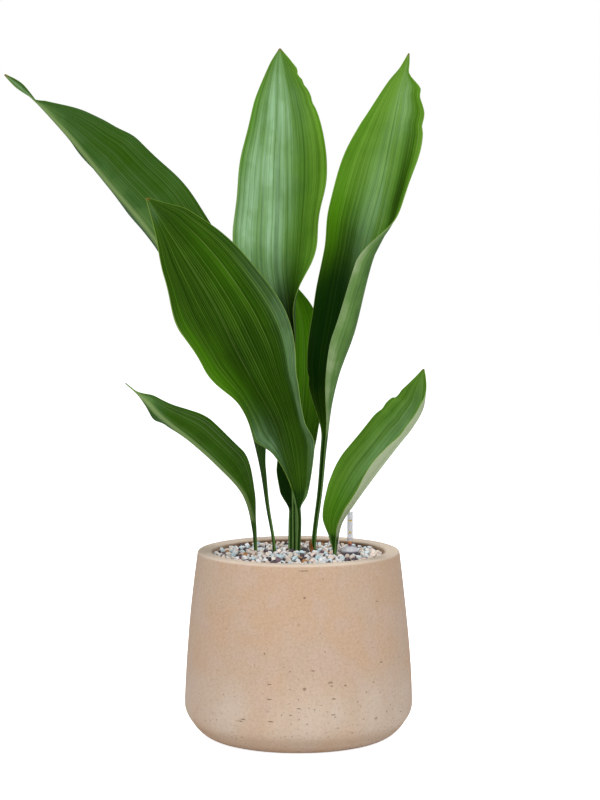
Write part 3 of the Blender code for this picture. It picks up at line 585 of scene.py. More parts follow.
# A leaf: the station at which its blade starts, the bearing and half width of its stalk's foot,
# and its stations. Each station is the midrib's x, y and z, the bearing that the upper face looks to
# (0 is -Y, 90 is +X), and for the left and then the right half its width, its lift out of flat and
# its curl from there on.
LEAVES = {
    "leaf_rear_left": (4, 90, 1.6, [
        (-31, 30, 230, 95, 2.3, 40, 0, 2.3, 40, 0), (-37, 34, 268, 100, 4.6, 48, 0, 4.6, 48, 0),
        (-44, 38, 298, 105, 12, 52, 8, 12, 52, 8), (-96, 60, 413, 120, 45, 42, 10, 42, 42, 10),
        (-153, 80, 505, 127, 60, 40, 5, 56, 38, 5), (-205, 95, 566, 127, 54, 38, 5, 48, 42, 5),
        (-241, 103, 609, 124, 33, 36, 0, 30, 40, 0), (-266, 107, 636, 108, 10, 30, 0, 8, 25, 0),
        (-274, 108, 644, 84, 4, 18, 0, 4, 18, 0), (-288, 109, 657, 58, 5, 12, 0, 5, 12, 0),
        (-304, 110, 670, 50, 0.8, 10, 0, 0.8, 10, 0)]),
    "leaf_rear_middle": (3, 0, 1.4, [
        (-5, 30, 280, 0, 1.6, 38, 0, 1.6, 38, 0), (-6, 34, 359, 5, 4, 50, 10, 4, 60, 20),
        (-9, 38, 423, 8, 38, 30, 10, 36, 72, 40), (-14, 42, 475, 8, 55, 12, 5, 47, 52, 25),
        (-13, 48, 525, 6, 54, 8, 5, 46, 38, 15), (-13, 55, 578, 4, 47, 8, 5, 46, 25, 10),
        (-14, 64, 640, 3, 32, 5, 5, 29, 15, 5), (-18, 68, 680, 0, 11.5, 5, 0, 11.5, 5, 0),
        (-19, 70, 695, 0, 0.8, 5, 0, 0.8, 5, 0)]),
    "leaf_right": (3, -20, 1.7, [
        (22, 16, 250, -25, 2.3, 40, 0, 2.3, 40, 0), (27, 12, 300, -30, 4, 50, 10, 4, 50, 30),
        (36, 4, 360, -30, 28, 15, 10, 30, 35, 90), (48, 0, 412, -30, 38, 10, 10, 46, 8, 150),
        (61, -6, 483, -28, 38, 10, 10, 48, -5, 150), (70, -10, 520, -27, 43, 8, 5, 48, -12, 110),
        (79, -12, 552, -25, 46, 5, 5, 44, 10, 40), (91, -14, 611, -25, 34, -3, 5, 35, 5, 0),
        (101, -12, 656, -25, 14, -3, 0, 23, 0, 0), (105, -11, 669, -22, 7, 0, 0, 6, 0, 0),
        (109, -10, 687, -20, 0.5, 0, 0, 0.5, 0, 0)]),
    "leaf_front": (3, 20, 1.7, [
        (0, 12, 228, 20, 1.9, 40, 0, 1.9, 40, 0), (-3, 6, 245, 22, 3, 40, 0, 13, 45, 0),
        (-14, -4, 288, 24, 11, 18, 5, 32, 36, 15), (-24, -12, 321, 24, 34, 20, 8, 44, 43, 50),
        (-42, -22, 356, 24, 35, 25, 8, 56, 40, 50), (-64, -32, 399, 23, 47, 20, 5, 61, 12, 20),
        (-82, -40, 437, 22, 49, 15, 5, 57, 15, 10), (-110, -46, 484, 20, 38, 28, 5, 45, 15, 5),
        (-130, -46, 515, 20, 18, 38, 0, 30, 15, 0), (-149, -42, 545, 20, 0.8, 30, 0, 0.8, 15, 0)]),
    "leaf_low_left": (2, 100, 1.5, [
        (-46, 16, 215, 105, 4, 40, 0, 4, 20, 0), (-55, 10, 244, 115, 14, 32, 5, 13, 12, 5),
        (-81, 0, 275, 122, 34, 32, 5, 31, 27, 5), (-107, -10, 300, 124, 33, 30, 5, 32, 30, 5),
        (-127, -16, 317, 125, 27, 28, 5, 26, 25, 5), (-141, -20, 330, 126, 19, 25, 5, 14, 10, 0),
        (-152, -22, 342, 125, 12, 25, 0, 6, 12, 0), (-164, -24, 354, 110, 1.2, 20, 0, 1.2, 20, 0),
        (-172, -24, 361, 100, 0.6, 20, 0, 0.6, 20, 0)]),
    "leaf_low_right": (2, -55, 1.5, [
        (38, -12, 203, -57, 8, 42, 0, 5, 45, 0), (42, -15, 218, -58, 20, 42, 5, 14, 50, 0),
        (56, -20, 240, -60, 33, 38, 5, 28, 55, 0), (77, -27, 270, -60, 39, 35, 5, 38, 55, 5),
        (100, -33, 301, -60, 38, 33, 5, 37, 54, 5), (113, -35, 318, -60, 37, 32, 5, 33, 52, 5),
        (124, -36, 340, -58, 33, 30, 5, 24, 42, 5), (125, -36, 354, -55, 25, 28, 0, 12, 32, 0),
        (123.5, -36, 376, -50, 0.8, 20, 0, 0.8, 20, 0)]),
    "leaf_rear_low": (2, 20, 1.4, [
        (-7, 40, 222, 20, 3, 35, 0, 2, 35, 0), (-5, 44, 240, 20, 21, 25, 5, 7, 25, 5),
        (-2, 50, 262, 20, 28, 20, 5, 12, 22, 5), (2, 60, 305, 18, 23, 20, 5, 18, 20, 5),
        (6, 76, 370, 15, 22, 20, 5, 21, 18, 5), (3, 88, 421, 12, 17, 20, 5, 15, 15, 5),
        (-8, 96, 457, 10, 0.8, 20, 0, 0.8, 20, 0)]),
}

# How each leaf differs. Tone is its green from deep (0) to fresh (1), under that of its lower skin
# from deep (0) to pale (1), and wave how far its margins ripple. Tone and under are partly the
# leaf's own green and partly painted light: how brightly each leaf stands lit. A patch is what it
# is, its place along the blade (0 to 1) and across it (-1 is the left margin), its length and
# breadth as shares, and its strength. Of the three kinds, glow is painted light, a clear saturated
# green where light falls on or shines through the blade; the second is a painted reflection of the
# lights, a bluish sheen; the third is painted shade, a deeper green where the leaf lies in shade.
# A nick is a bite or lobe in a margin: side, place along the leaf, length, depth.
LOOKS = {
    "leaf_rear_left": {"tone": 0.4, "under": 0.44, "wave": 1.6, "patches": [
        ("painted_shade", 0.45, -0.75, 0.3, 0.3, 0.3), ("painted_shade", 0.72, -0.55, 0.12, 0.3, 0.25),
        ("painted_sheen", 0.92, -0.2, 0.1, 0.5, 0.55), ("glow", 0.3, -0.35, 0.12, 0.2, 0.35),
        ("painted_sheen", 0.5, 0.1, 0.3, 0.35, 0.22)], "nicks": [
        (-1, 0.8, 0.02, 1.6), (1, 0.7, 0.03, -1.2)]},
    "leaf_rear_middle": {"tone": 0.84, "under": 0.6, "wave": 1.4, "patches": [
        ("painted_sheen", 0.6, -0.36, 0.24, 0.46, 1.1), ("painted_sheen", 0.5, -0.78, 0.14, 0.2, 0.9),
        ("painted_sheen", 0.86, -0.1, 0.12, 0.5, 0.6), ("painted_sheen", 0.4, -0.35, 0.12, 0.28, 0.6),
        ("glow", 0.78, -0.95, 0.12, 0.14, 0.9), ("glow", 0.75, 0.95, 0.16, 0.1, 0.6),
        ("painted_shade", 0.45, 0.5, 0.35, 0.35, 0.12), ("painted_shade", 0.12, 0.1, 0.15, 1.0, 0.85)], "nicks": [
        (1, 0.945, 0.008, 2.2), (1, 0.925, 0.007, 1.6), (1, 0.89, 0.008, 1.2), (1, 0.958, 0.01, -1.0)]},
    "leaf_right": {"tone": 0.93, "under": 0.84, "wave": 1.8, "patches": [
        ("glow", 0.58, -0.88, 0.12, 0.22, 0.8), ("glow", 0.8, -0.9, 0.1, 0.2, 0.5),
        ("painted_sheen", 0.62, 0.0, 0.16, 0.3, 0.35), ("painted_sheen", 0.88, 0.25, 0.1, 0.3, 0.35),
        ("painted_shade", 0.62, 0.66, 0.25, 0.18, 0.55), ("painted_shade", 0.28, -0.6, 0.25, 1.0, 1.1),
        ("glow", 0.9, 0.85, 0.08, 0.2, 0.5)], "nicks": [
        (1, 0.925, 0.011, 2.0), (1, 0.895, 0.012, -1.6), (1, 0.87, 0.008, 1.4), (1, 0.965, 0.012, 1.6),
        (-1, 0.36, 0.006, 1.6)]},
    "leaf_front": {"tone": 0.39, "under": 0.5, "wave": 1.8, "patches": [
        ("glow", 0.5, -0.92, 0.16, 0.2, 0.7), ("glow", 0.4, -0.55, 0.14, 0.25, 0.3),
        ("painted_sheen", 0.96, -0.45, 0.03, 0.4, 0.25), ("painted_sheen", 0.19, -0.65, 0.09, 0.4, 0.5),
        ("painted_shade", 0.42, 0.2, 0.22, 0.45, 0.09), ("glow", 0.72, 0.45, 0.1, 0.2, 0.3),
        ("painted_sheen", 0.34, 0.96, 0.24, 0.14, 0.8)], "nicks": [
        (-1, 0.3, 0.02, -1.2), (1, 0.93, 0.02, -1.0)]},
    "leaf_low_left": {"tone": 0.36, "under": 0.2, "wave": 1.2, "patches": [
        ("painted_sheen", 0.9, -0.3, 0.12, 0.7, 1.0), ("painted_sheen", 0.55, -0.04, 0.3, 0.1, 0.45),
        ("painted_shade", 0.45, -0.7, 0.3, 0.3, 0.15)], "nicks": []},
    "leaf_low_right": {"tone": 0.84, "under": 1.25, "wave": 1.4, "patches": [
        ("painted_sheen", 0.6, -0.2, 0.3, 0.4, 0.4), ("glow", 0.14, -0.5, 0.14, 0.6, 0.9),
        ("painted_shade", 0.3, 0.3, 0.3, 0.2, 0.2)], "nicks": [
        (-1, 0.72, 0.03, 1.4)]},
    "leaf_rear_low": {"tone": 0.56, "under": 0.4, "wave": 1.2, "patches": [
        ("glow", 0.75, 0.2, 0.35, 1.2, 1.0), ("painted_shade", 0.08, 0.0, 0.25, 1.5, 1.0)], "nicks": []},
}


def leaf_rings(blade_station, stations, look, phase):
    """Cross-sections of a leaf from foot to tip, and what the skins need to know at each point.

    A ring runs along the upper skin from left margin to right, then back along the lower skin.
    Returns the points, the share across (-1 to 1), the place along the blade and the half width.
    """
    places, shape = stations[:, :3], stations[:, 3:]
    along = np.concatenate([[0.0], np.cumsum(np.linalg.norm(np.diff(places, axis=0), axis=1))])
    at = np.linspace(0.0, along[-1], LEAF_STEPS)
    spine = smooth(along, places, at, limited=False)
    shape = smooth(along, shape, at).T
    bearing, left_width, left_lift, left_curl, right_width, right_lift, right_curl = shape

    tangent = np.gradient(spine, at, axis=0)
    tangent /= np.linalg.norm(tangent, axis=1)[:, None]
    bearing = np.radians(bearing)
    facing = np.stack([np.sin(bearing), -np.cos(bearing), 0 * bearing], axis=1)
    up = facing - tangent * np.sum(facing * tangent, axis=1)[:, None]
    up /= np.linalg.norm(up, axis=1)[:, None]
    side = np.cross(tangent, up)
    into_blade = np.clip((at - along[blade_station]) / (along[-1] - along[blade_station]), 0.0, 1.0)
    keel = BLADE_THICKNESS + (STALK_THICKNESS - BLADE_THICKNESS) * np.exp(-into_blade / KEEL_FADE)

    share = np.linspace(0.0, 1.0, HALF_STEPS + 1) ** 0.9
    sheet = BLADE_THICKNESS + (EDGE_THICKNESS - BLADE_THICKNESS) * share
    skins = []
    for hand, width, lift, curl in ((-1, left_width, left_lift, left_curl),
                                    (1, right_width, right_lift, right_curl)):
        full = np.clip(width / FULL_WIDTH, 0.0, 1.0)
        width = width.copy()
        for nick_hand, place, length, depth in look["nicks"]:
            if nick_hand == hand:
                width -= depth * np.exp(-((at / along[-1] - place) / length) ** 2)
        ripple = np.sin(at / WAVE_LENGTH * 2 * math.pi + phase + hand)
        ripple += 0.5 * np.sin(at / 31.0 * 2 + 2.1 * phase * hand)
        width *= 1.0 + 0.012 * np.sin(at / 23.0 * 2 + phase * 3 + hand) * full
        angle = np.radians(lift)[:, None] + np.radians(curl)[:, None] * share
        step = np.diff(share) * width[:, None]
        middle = 0.5 * (angle[:, 1:] + angle[:, :-1])
        start = np.zeros((LEAF_STEPS, 1))
        out = np.concatenate([start, np.cumsum(np.cos(middle) * step, axis=1)], axis=1)[..., None]
        rise = np.concatenate([start, np.cumsum(np.sin(middle) * step, axis=1)], axis=1)[..., None]
        upper = spine[:, None, :] + hand * side[:, None, :] * out + up[:, None, :] * rise
        angle[:, 0] = 0.0
        cosine, sine = np.cos(angle)[..., None], np.sin(angle)[..., None]
        normal = up[:, None, :] * cosine - hand * side[:, None, :] * sine
        # pleats run with the veins, deeper where the blade is wide; the margin ripples
        run = share[None, :] * PLEATS + 0.35 * np.sin(at / 61.0 + hand)[:, None] * share
        pleat = -np.cos(2 * math.pi * run) * (0.35 + 0.65 * np.sin(2.7 * run + phase) ** 2)
        pleat = PLEAT_DEPTH * pleat * np.minimum(share * 4, 1.0) * full[:, None]
        open_part = np.clip((into_blade - 0.12) / 0.3, 0.0, 1.0)
        edge = look["wave"] * ripple[:, None] * share ** 3 * (full * open_part)[:, None]
        upper = upper + normal * (pleat + edge)[..., None]
        bulk = np.exp(-(share * width[:, None] / KEEL_REACH) ** 2)
        thick = sheet + np.maximum(keel[:, None] - sheet, 0.0) * bulk
        skins.append((upper, upper - normal * thick[..., None]))
    (left_upper, left_lower), (right_upper, right_lower) = skins
    points = np.concatenate([left_upper[:, ::-1], right_upper[:, 1:], right_lower[:, ::-1],
                             left_lower[:, 1:]], axis=1)
    half = np.concatenate([-share[::-1], share[1:]])
    across = np.tile(np.concatenate([half, half[::-1]]), (LEAF_STEPS, 1))
    blade = np.repeat(into_blade[:, None], across.shape[1], axis=1)
    wide = np.where(across < 0, left_width[:, None], right_width[:, None])
    return points, across, blade, wide


def patch(across, blade, patches, kind):
    """The summed strength of one kind of patch."""
    total = np.zeros_like(across)
    for what, place, aside, length, breadth, strength in patches:
        if what == kind:
            total += strength * np.exp(-((blade - place) / length) ** 2 - ((across - aside) / breadth) ** 2)
    return np.clip(total, 0.0, 1.0)


def leaf(name, skins):
    """One closed leaf with its upper skin, lower skin and the numbers that their materials read."""
    blade_station, bearing, width, stations = LEAVES[name]
    half = (width, FOOT_LIFT, 0.0)
    foot = [(*STALK_FEET[name], height, bearing, *half, *half) for height in (FOOT_HEIGHT, STALK_STRAIGHT)]
    stations = np.array(foot + stations, float)
    look = LOOKS[name]
    phase = 1.7 * list(LEAVES).index(name)
    rings, across, blade, wide = leaf_rings(blade_station, stations, look, phase)
    count, size = rings.shape[:2]
    faces, skin = [], []
    for i in range(count - 1):
        for j in range(size):
            k = (j + 1) % size
            faces.append((i * size + j, i * size + k, (i + 1) * size + k, (i + 1) * size + j))
            skin.append(0 if j < size // 2 or j == size - 1 else 1)
    faces.append(tuple(reversed(range(size))))
    faces.append(tuple((count - 1) * size + j for j in range(size)))
    made = piece(name + "_blade", rings.reshape(-1, 3), faces, skins, sharp=60)
    made.data.polygons.foreach_set("material_index", skin + [1, 1])
    values = {"across": across, "blade": blade, "wide": wide}
    for key, number in (("tone", look["tone"]), ("under", look["under"]), ("own", phase)):
        values[key] = np.full_like(across, number)
    for kind in PATCH_KINDS:
        values[kind] = patch(across, blade, look["patches"], kind)
    for key, numbers in values.items():
        carried = made.data.attributes.new(key, "FLOAT", "POINT")
        carried.data.foreach_set("value", numbers.ravel().astype(np.float32))
    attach(made, "planted_pot")
    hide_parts(name)


def veins(node, given, fine):
    """Masks of the main and the fine veins: lines of even spacing, wavering and fading a little."""
    waver = node("MapRange", fine, 0.3, 0.7, -0.012, 0.012, interpolation_type="LINEAR")
    place = node("Math.ADD", given["across"], waver)
    masks = []
    for count, thin in ((MAIN_VEINS, 0.38), (FINE_VEINS, 0.34)):
        wave = node("Math.PINGPONG", node("Math", place, count), 0.5)
        masks.append(node("Math", node("MapRange", wave, thin, 0.5),
                          node("MapRange", fine, 0.35, 0.6, 0.35, 1.0)))
    return masks


def leaf_numbers(node):
    """The numbers that a leaf carries at each point, and coordinates that run with its veins:
    across by share of the width, and along by the blade."""
    given = {name: node("Attribute", attribute_name=name, output="Fac") for name in LEAF_NUMBERS}
    return given, node("CombineXYZ", given["across"], given["blade"], given["own"])


def leaf_upper():
    """Waxy cuticle over deep green: fine lighter and darker veins, soft pleat bands, a pale midrib
    and margin, patches of painted light (a clear green glow and a bluish painted sheen), patches of
    painted shade, lighter stalk edges as a painted highlight, and tiny pores."""
    material, node, place = new_material("leaf_upper_skin_waxy_satin")
    given, run = leaf_numbers(node)
    fine = node("TexNoise", node("VectorMath", run, (21.0, 0.9, 1.0)), 1.0, 3.0)
    bands = node("TexNoise", node("VectorMath", run, (7.0, 1.5, 1.0)), 1.0, 2.0)
    broken = node("TexNoise", node("VectorMath", place, (1.0, 1.0, 0.45)), 1.0 / 15.0, 3.0)
    wide = node("TexNoise", place, 1.0 / 45.0, 2.0)
    # the leaf's tone, partly its own green and partly painted light
    tone = node("Math.ADD", given["tone"], node("MapRange", bands, 0.35, 0.65, -0.05, 0.05))
    tone = node("Math.ADD", tone, node("MapRange", wide, 0.35, 0.65, -0.05, 0.05))
    # painted shade: a deeper green painted where the leaf lies in shade
    painted_shade = given["painted_shade"]
    tone = node("Math.SUBTRACT", tone, node("Math", painted_shade, 1.1))
    colour = "0A2E00"
    for start, code in ((0.0, "1E3E00"), (0.25, "305802"), (0.5, "4A7818"), (0.75, "6A9A32")):
        colour = node("Mix", node("MapRange", tone, start, start + 0.25, interpolation_type="LINEAR"),
                      colour, code)
    # glow: painted light, a clear saturated green where light falls on or shines through the blade
    glow = node("Math", given["glow"], node("MapRange", bands, 0.3, 0.6, 0.6, 1.0))
    colour = node("Mix", glow, colour, "508C04")
    # painted sheen: the bluish reflection of the lights painted into the colour, broken into patches
    painted_sheen = node("Math", given["painted_sheen"], node("MapRange", bands, 0.36, 0.58, 0.45, 1.0))
    painted_sheen = node("Math", painted_sheen, node("MapRange", broken, 0.38, 0.60, 0.68, 1.0))
    colour = node("Mix", painted_sheen, colour, "A2CC9E")
    # main veins as thin dark lines, fine ones between, then the midrib and margin as pale lines
    main, between_veins = veins(node, given, fine)
    # the pale veins fade where shade is painted
    lit = node("MapRange", painted_shade, 0.0, 0.9, 1.0, 0.15)
    colour = node("Mix", node("Math", node("MapRange", fine, 0.55, 0.72, 0.0, 0.20), lit), colour, "86B040")
    colour = node("Mix", node("MapRange", fine, 0.46, 0.32, 0.0, 0.30), colour, "0C2400")
    colour = node("Mix", node("Math", main, 0.42), colour, "0C2400")
    pale_veins = node("Math", node("Math", between_veins, 0.24), lit)
    colour = node("Mix", pale_veins, colour, "9CC060")
    aside = node("Math.ABSOLUTE", given["across"])
    span = node("Math", aside, given["wide"])
    inside = node("Math.SUBTRACT", given["wide"], span)
    rib = node("MapRange", span, 0.3, 0.8, 0.16, 0.0)
    colour = node("Mix", rib, colour, "8FB452")
    rim = node("MapRange", inside, 0.2, 0.7, 0.5, 0.0)
    rim = node("Math", rim, node("MapRange", given["blade"], 0.0, 0.05))
    colour = node("Mix", rim, colour, "98B852")
    stalk = node("MapRange", given["blade"], 0.03, 0.0)
    stalk_green = node("Mix", node("MapRange", fine, 0.4, 0.6), "12300A", "305818")
    # lighter towards the stalk's edges: a painted highlight that sets each stalk apart
    stalk_green = node("Mix", node("MapRange", aside, 0.62, 0.95, 0.0, 0.7), stalk_green, "7FA45C")
    colour = node("Mix", node("Math", stalk, 0.9), colour, stalk_green)
    tip = node("MapRange", given["blade"], 0.985, 1.0)
    colour = node("Mix", node("Math", tip, 0.7), colour, "7A5A2C")
    pores = node("TexNoise", place, 1.0 / 1.1, 1.0)
    colour = node("Mix", node("MapRange", pores, 0.72, 0.78, 0.0, 0.4), colour, "142E04")
    rough = node("MapRange", bands, 0.3, 0.7, 0.36, 0.5)
    bump = node("Math.ADD", node("Math", fine, 0.5), node("Math", bands, 0.5))
    finish(node, colour, rough, bump, 0.14, Specular_IOR_Level=0.03)
    return material


def leaf_lower():
    """Underside without wax: a deeper or paler grey-green, partly painted light, ribbed by close veins,
    with a pale keel; painted shade, glow and sheen lie over it as on the upper skin.
    """
    material, node, place = new_material("leaf_lower_skin_ribbed_matt")
    given, run = leaf_numbers(node)
    fine = node("TexNoise", node("VectorMath", run, (19.0, 0.8, 1.0)), 1.0, 3.0)
    bands = node("TexNoise", node("VectorMath", run, (7.0, 1.3, 1.0)), 1.0, 2.0)
    cloud = node("TexNoise", place, 1.0 / 30.0, 3.0)
    # the lower skin's tone, partly its own green and partly painted light
    tone = node("Math.ADD", given["under"], node("MapRange", bands, 0.35, 0.65, -0.04, 0.04))
    tone = node("Math.ADD", tone, node("MapRange", cloud, 0.35, 0.65, -0.05, 0.05))
    # painted shade darkens the lower skin, and the painted sheen pales it
    tone = node("Math.SUBTRACT", tone, node("Math", given["painted_shade"], 0.5))
    tone = node("Math.ADD", tone, node("Math", given["painted_sheen"], 0.55))
    colour = "1C3A00"
    for start, code in ((0.0, "305802"), (0.25, "3C6226"), (0.5, "648A46"), (0.75, "B4C298")):
        colour = node("Mix", node("MapRange", tone, start, start + 0.25, interpolation_type="LINEAR"),
                      colour, code)
    # glow: painted light, a clear green where light falls on or shines through the blade
    colour = node("Mix", node("Math", given["glow"], 0.7), colour, "508404")
    pale = node("Mix", 0.14, colour, "CCDAA8")
    colour = node("Mix", node("MapRange", fine, 0.53, 0.68, 0.0, 0.4), colour, pale)
    main, between_veins = veins(node, given, fine)
    dark = node("Mix", 0.45, colour, "122D00")
    colour = node("Mix", node("MapRange", fine, 0.45, 0.32, 0.0, 0.4), colour, dark)
    colour = node("Mix", node("Math", main, 0.6), colour, dark)
    colour = node("Mix", node("Math", between_veins, 0.5), colour, pale)
    span = node("Math", node("Math.ABSOLUTE", given["across"]), given["wide"])
    keel = node("Math", node("MapRange", span, 1.2, 5.5, 0.6, 0.0),
                node("MapRange", fine, 0.3, 0.6, 0.5, 1.0))
    colour = node("Mix", keel, colour, "93AA6C")
    stalk = node("MapRange", given["blade"], 0.03, 0.0)
    stalk_green = node("Mix", node("MapRange", fine, 0.4, 0.6), "12300A", "3E6424")
    colour = node("Mix", node("Math", stalk, 0.9), colour, stalk_green)
    bump = node("Math.ADD", node("Math", fine, 0.6), node("Math", bands, 0.4))
    finish(node, colour, 0.55, bump, 0.18, Specular_IOR_Level=0.04)
    return material


leaf_skins = [leaf_upper(), leaf_lower()]
for name in LEAVES:
    leaf(name, leaf_skins)


# ---------------------------------------------------------------- dry sheath
# A withered scale leaf left round the foot of the right-hand stalk: papery, brown and split at its
# edges. It grows from the rhizome too, and replaces its CAD scale.
SHEATH_RADIUS = 3.7
SHEATH_WALL = 0.7
SHEATH_WRAP = 200.0  # degrees round the stalk
SHEATH_BEARING = 205.0
SHEATH_TOP = 199.0
SHEATH_SHOULDER = 16.0  # how far its sides stand below its point
SHEATH_FOOT = 170.1
SHEATH_COLUMNS = 30
SHEATH_ROWS = 16


def papery_brown():
    """Dead leaf sheath: papery brown with darker fibres running up it, and pale torn edges."""
    material, node, place = new_material("leaf_sheath_papery_dry")
    fibres = node("TexNoise", node("VectorMath", place, (1.0, 1.0, 0.12)), 1.0 / 0.7, 3.0)
    stains = node("TexNoise", place, 1.0 / 4.0, 2.0)
    colour = node("Mix", node("MapRange", fibres, 0.36, 0.62), "5E3416", "A8713C")
    colour = node("Mix", node("MapRange", stains, 0.45, 0.65, 0.0, 0.6), colour, "7E4A20")
    top = node("MapRange", node("SeparateXYZ", place, output="Z"), 193.0, 199.0, 0.0, 0.5)
    colour = node("Mix", top, colour, "C49A66")
    finish(node, colour, node("MapRange", fibres, 0.3, 0.7, 0.7, 0.9), fibres, 0.35,
           Specular_IOR_Level=0.25)
    return material


sheath_points, sheath_faces = [], []
stalk_x, stalk_y = STALK_FEET["leaf_right"]
for i in range(SHEATH_COLUMNS + 1):
    turn = 2.0 * i / SHEATH_COLUMNS - 1.0
    angle = math.radians(SHEATH_BEARING + 0.5 * SHEATH_WRAP * turn)
    ragged = 0.5 * math.sin(17.0 * turn + 1.0) + 0.4 * math.sin(31.0 * turn)
    top = SHEATH_TOP - SHEATH_SHOULDER * abs(turn) ** 1.3 - 0.6 + 0.6 * ragged
    for j in range(SHEATH_ROWS + 1):
        height = SHEATH_FOOT + (top - SHEATH_FOOT) * j / SHEATH_ROWS
        rib = 0.10 * math.sin(40.0 * turn) + 0.25 * math.sin(4.0 * turn + 0.25 * height) * j / SHEATH_ROWS
        reach = SHEATH_RADIUS + 0.3 + rib
        sheath_points.append((stalk_x + reach * math.cos(angle), stalk_y + reach * math.sin(angle), height))
for i in range(SHEATH_COLUMNS):
    for j in range(SHEATH_ROWS):
        k = i * (SHEATH_ROWS + 1) + j
        sheath_faces.append((k, k + SHEATH_ROWS + 1, k + SHEATH_ROWS + 2, k + 1))
sheath = piece("dry_sheath_scale", sheath_points, sheath_faces, [papery_brown()])
thicken = sheath.modifiers.new("thickness", "SOLIDIFY")
thicken.thickness = 0.5 * SHEATH_WALL * MM
thicken.offset = 0.0
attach(sheath, "planted_pot")
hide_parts("dry_sheath")


# ---------------------------------------------------------------- water gauge
# A float gauge for the water in the planter: a dark slotted ABS housing that stands on the floor,
# and a clear cap pressed into it, whose cone runs up into a sight tube. A foam float in the
# housing carries a rod, and the rod's red tip shows the level in the tube.
GAUGE_STEPS = 72
GAUGE_ROUND = 0.5
HOUSING_RADIUS = 9.2
HOUSING_BORE = 7.8
HOUSING_FOOT, HOUSING_TOP = 18.3, 188.4
SLOT_WIDTH = 2.2
SLOT_TURNS = (45.0, 135.0)
SLOT_BOTTOM, SLOT_TOP = 24.0, 58.0
CAP_SEAT = 188.7
CAP_SKIRT = 1.2
CAP_CONE_TOP = 194.5
CAP_TOP = 228.7
CAP_WALL = 0.8
CAP_SPIGOT_RADIUS, CAP_SPIGOT_FOOT = 7.5, 182.7
TUBE_RADIUS, TUBE_BORE = 3.25, 2.45
FLOAT_RADIUS, FLOAT_BORE = 6.2, 1.1
FLOAT_BOTTOM, FLOAT_TOP = 26.0, 70.0
FLOAT_ROUND = 1.5
ROD_RADIUS, ROD_TIP_RADIUS = 0.8, 1.7
ROD_BOTTOM, ROD_TIP_BOTTOM, ROD_TOP = 30.0, 194.6, 198.6
ROD_BAND = (196.2, 196.6)  # where the red turns orange
FULL_MARK, LOW_MARK = (219.3, 220.9), (207.2, 209.3)
CONE_MILK, WINDOW_MILK, TUBE_MILK = 0.55, 0.05, 0.38  # how opaque the clear plastic is
MARK_COLUMNS = 12
MARK_LIFT = 0.07  # how far a printed mark stands off the tube


def housing_plastic():
    """Moulded dark grey ABS: fine spark-eroded grain, dust from the granules near the top."""
    material, node, place = new_material("abs_dark_grey_moulded_matt")
    grain = node("TexNoise", place, 1.0 / 0.5, 2.0)
    cloud = node("TexNoise", place, 1.0 / 6.0, 3.0)
    colour = node("Mix", node("MapRange", cloud, 0.35, 0.65), "4E4854", "645D6A")
    dust = node("Math", node("MapRange", cloud, 0.48, 0.66, 0.0, 0.6),
                node("MapRange", node("SeparateXYZ", place, output="Z"), 150.0, 188.0))
    colour = node("Mix", dust, colour, "A59A98")
    finish(node, colour, node("MapRange", grain, 0.3, 0.7, 0.38, 0.52), grain, 0.06, Specular_IOR_Level=0.5)
    return material


def cap_plastic():
    """Clear polystyrene, moulded: thin, slightly milky walls with a lavender cast, faint flow
    streaks and scuffs, so that what is inside shows through."""
    material, node, place = new_material("polystyrene_clear_moulded")
    flow = node("TexNoise", node("VectorMath", place, (1.0, 1.0, 0.2)), 1.0 / 2.4, 3.0)
    scuffs = node("TexNoise", place, 1.0 / 0.8, 2.0)
    colour = node("Mix", node("MapRange", flow, 0.35, 0.65), "E9E8EE", "F1F0F6")
    # the thick cone is milky, and the tube is clearest at its foot, where the tip rests
    height = node("SeparateXYZ", place, output="Z")
    milky = node("Math.MAXIMUM", node("MapRange", height, 193.4, 194.4, CONE_MILK, WINDOW_MILK),
                 node("MapRange", height, 198.8, 200.2, WINDOW_MILK, TUBE_MILK))
    finish(node, colour, node("MapRange", scuffs, 0.4, 0.7, 0.10, 0.28), scuffs, 0.01,
           Alpha=milky, IOR=1.59)
    return material


def mark_paint():
    """Yellow pad print on the tube: a thin, slightly uneven layer of ink."""
    material, node, place = new_material("pad_print_yellow_satin")
    ink = node("TexNoise", place, 1.0 / 0.6, 2.0)
    colour = node("Mix", node("MapRange", ink, 0.35, 0.65), "F2BC1E", "FFDC50")
    finish(node, colour, node("MapRange", ink, 0.3, 0.7, 0.45, 0.6), ink, 0.02, Specular_IOR_Level=0.4)
    return material


def float_foam():
    """Expanded polystyrene: white beads pressed into a cylinder, with fine dark seams between."""
    material, node, place = new_material("expanded_polystyrene_float_matt")
    beads = node("TexVoronoi", place, 1.0 / 2.2)
    colour = node("Mix", node("MapRange", beads, 0.25, 0.62), "F6F5F0", "CBC8C0")
    bump = node("MapRange", beads, 0.2, 0.7, 1.0, 0.0)
    finish(node, colour, node("MapRange", beads, 0.2, 0.7, 0.7, 0.9), bump, 0.25, Specular_IOR_Level=0.35)
    return material


def rod_plastic():
    """Moulded rod, dark red, with an orange band painted round the top of its tip."""
    material, node, place = new_material("polypropylene_red_moulded_satin")
    flow = node("TexNoise", node("VectorMath", place, (1.0, 1.0, 0.2)), 1.0 / 1.2, 2.0)
    height = node("SeparateXYZ", place, output="Z")
    wavy = node("Math.ADD", height, node("MapRange", flow, 0.3, 0.7, -0.2, 0.2))
    band = node("MapRange", wavy, *ROD_BAND)
    colour = node("Mix", node("MapRange", flow, 0.35, 0.65), "8C0A1C", "B01828")
    colour = node("Mix", band, colour, "F08A1C")
    finish(node, colour, node("MapRange", flow, 0.3, 0.7, 0.3, 0.42), flow, 0.03, Specular_IOR_Level=0.45)
    return material


def rounded(radius, height, size, start, end, steps):
    """A profile's rounded outer edge at that radius and height: the upper edge, or the lower one
    if the arc starts below."""
    middle = height + size if start < 0 else height - size
    return arc((radius - size, middle), size, start, end, steps)


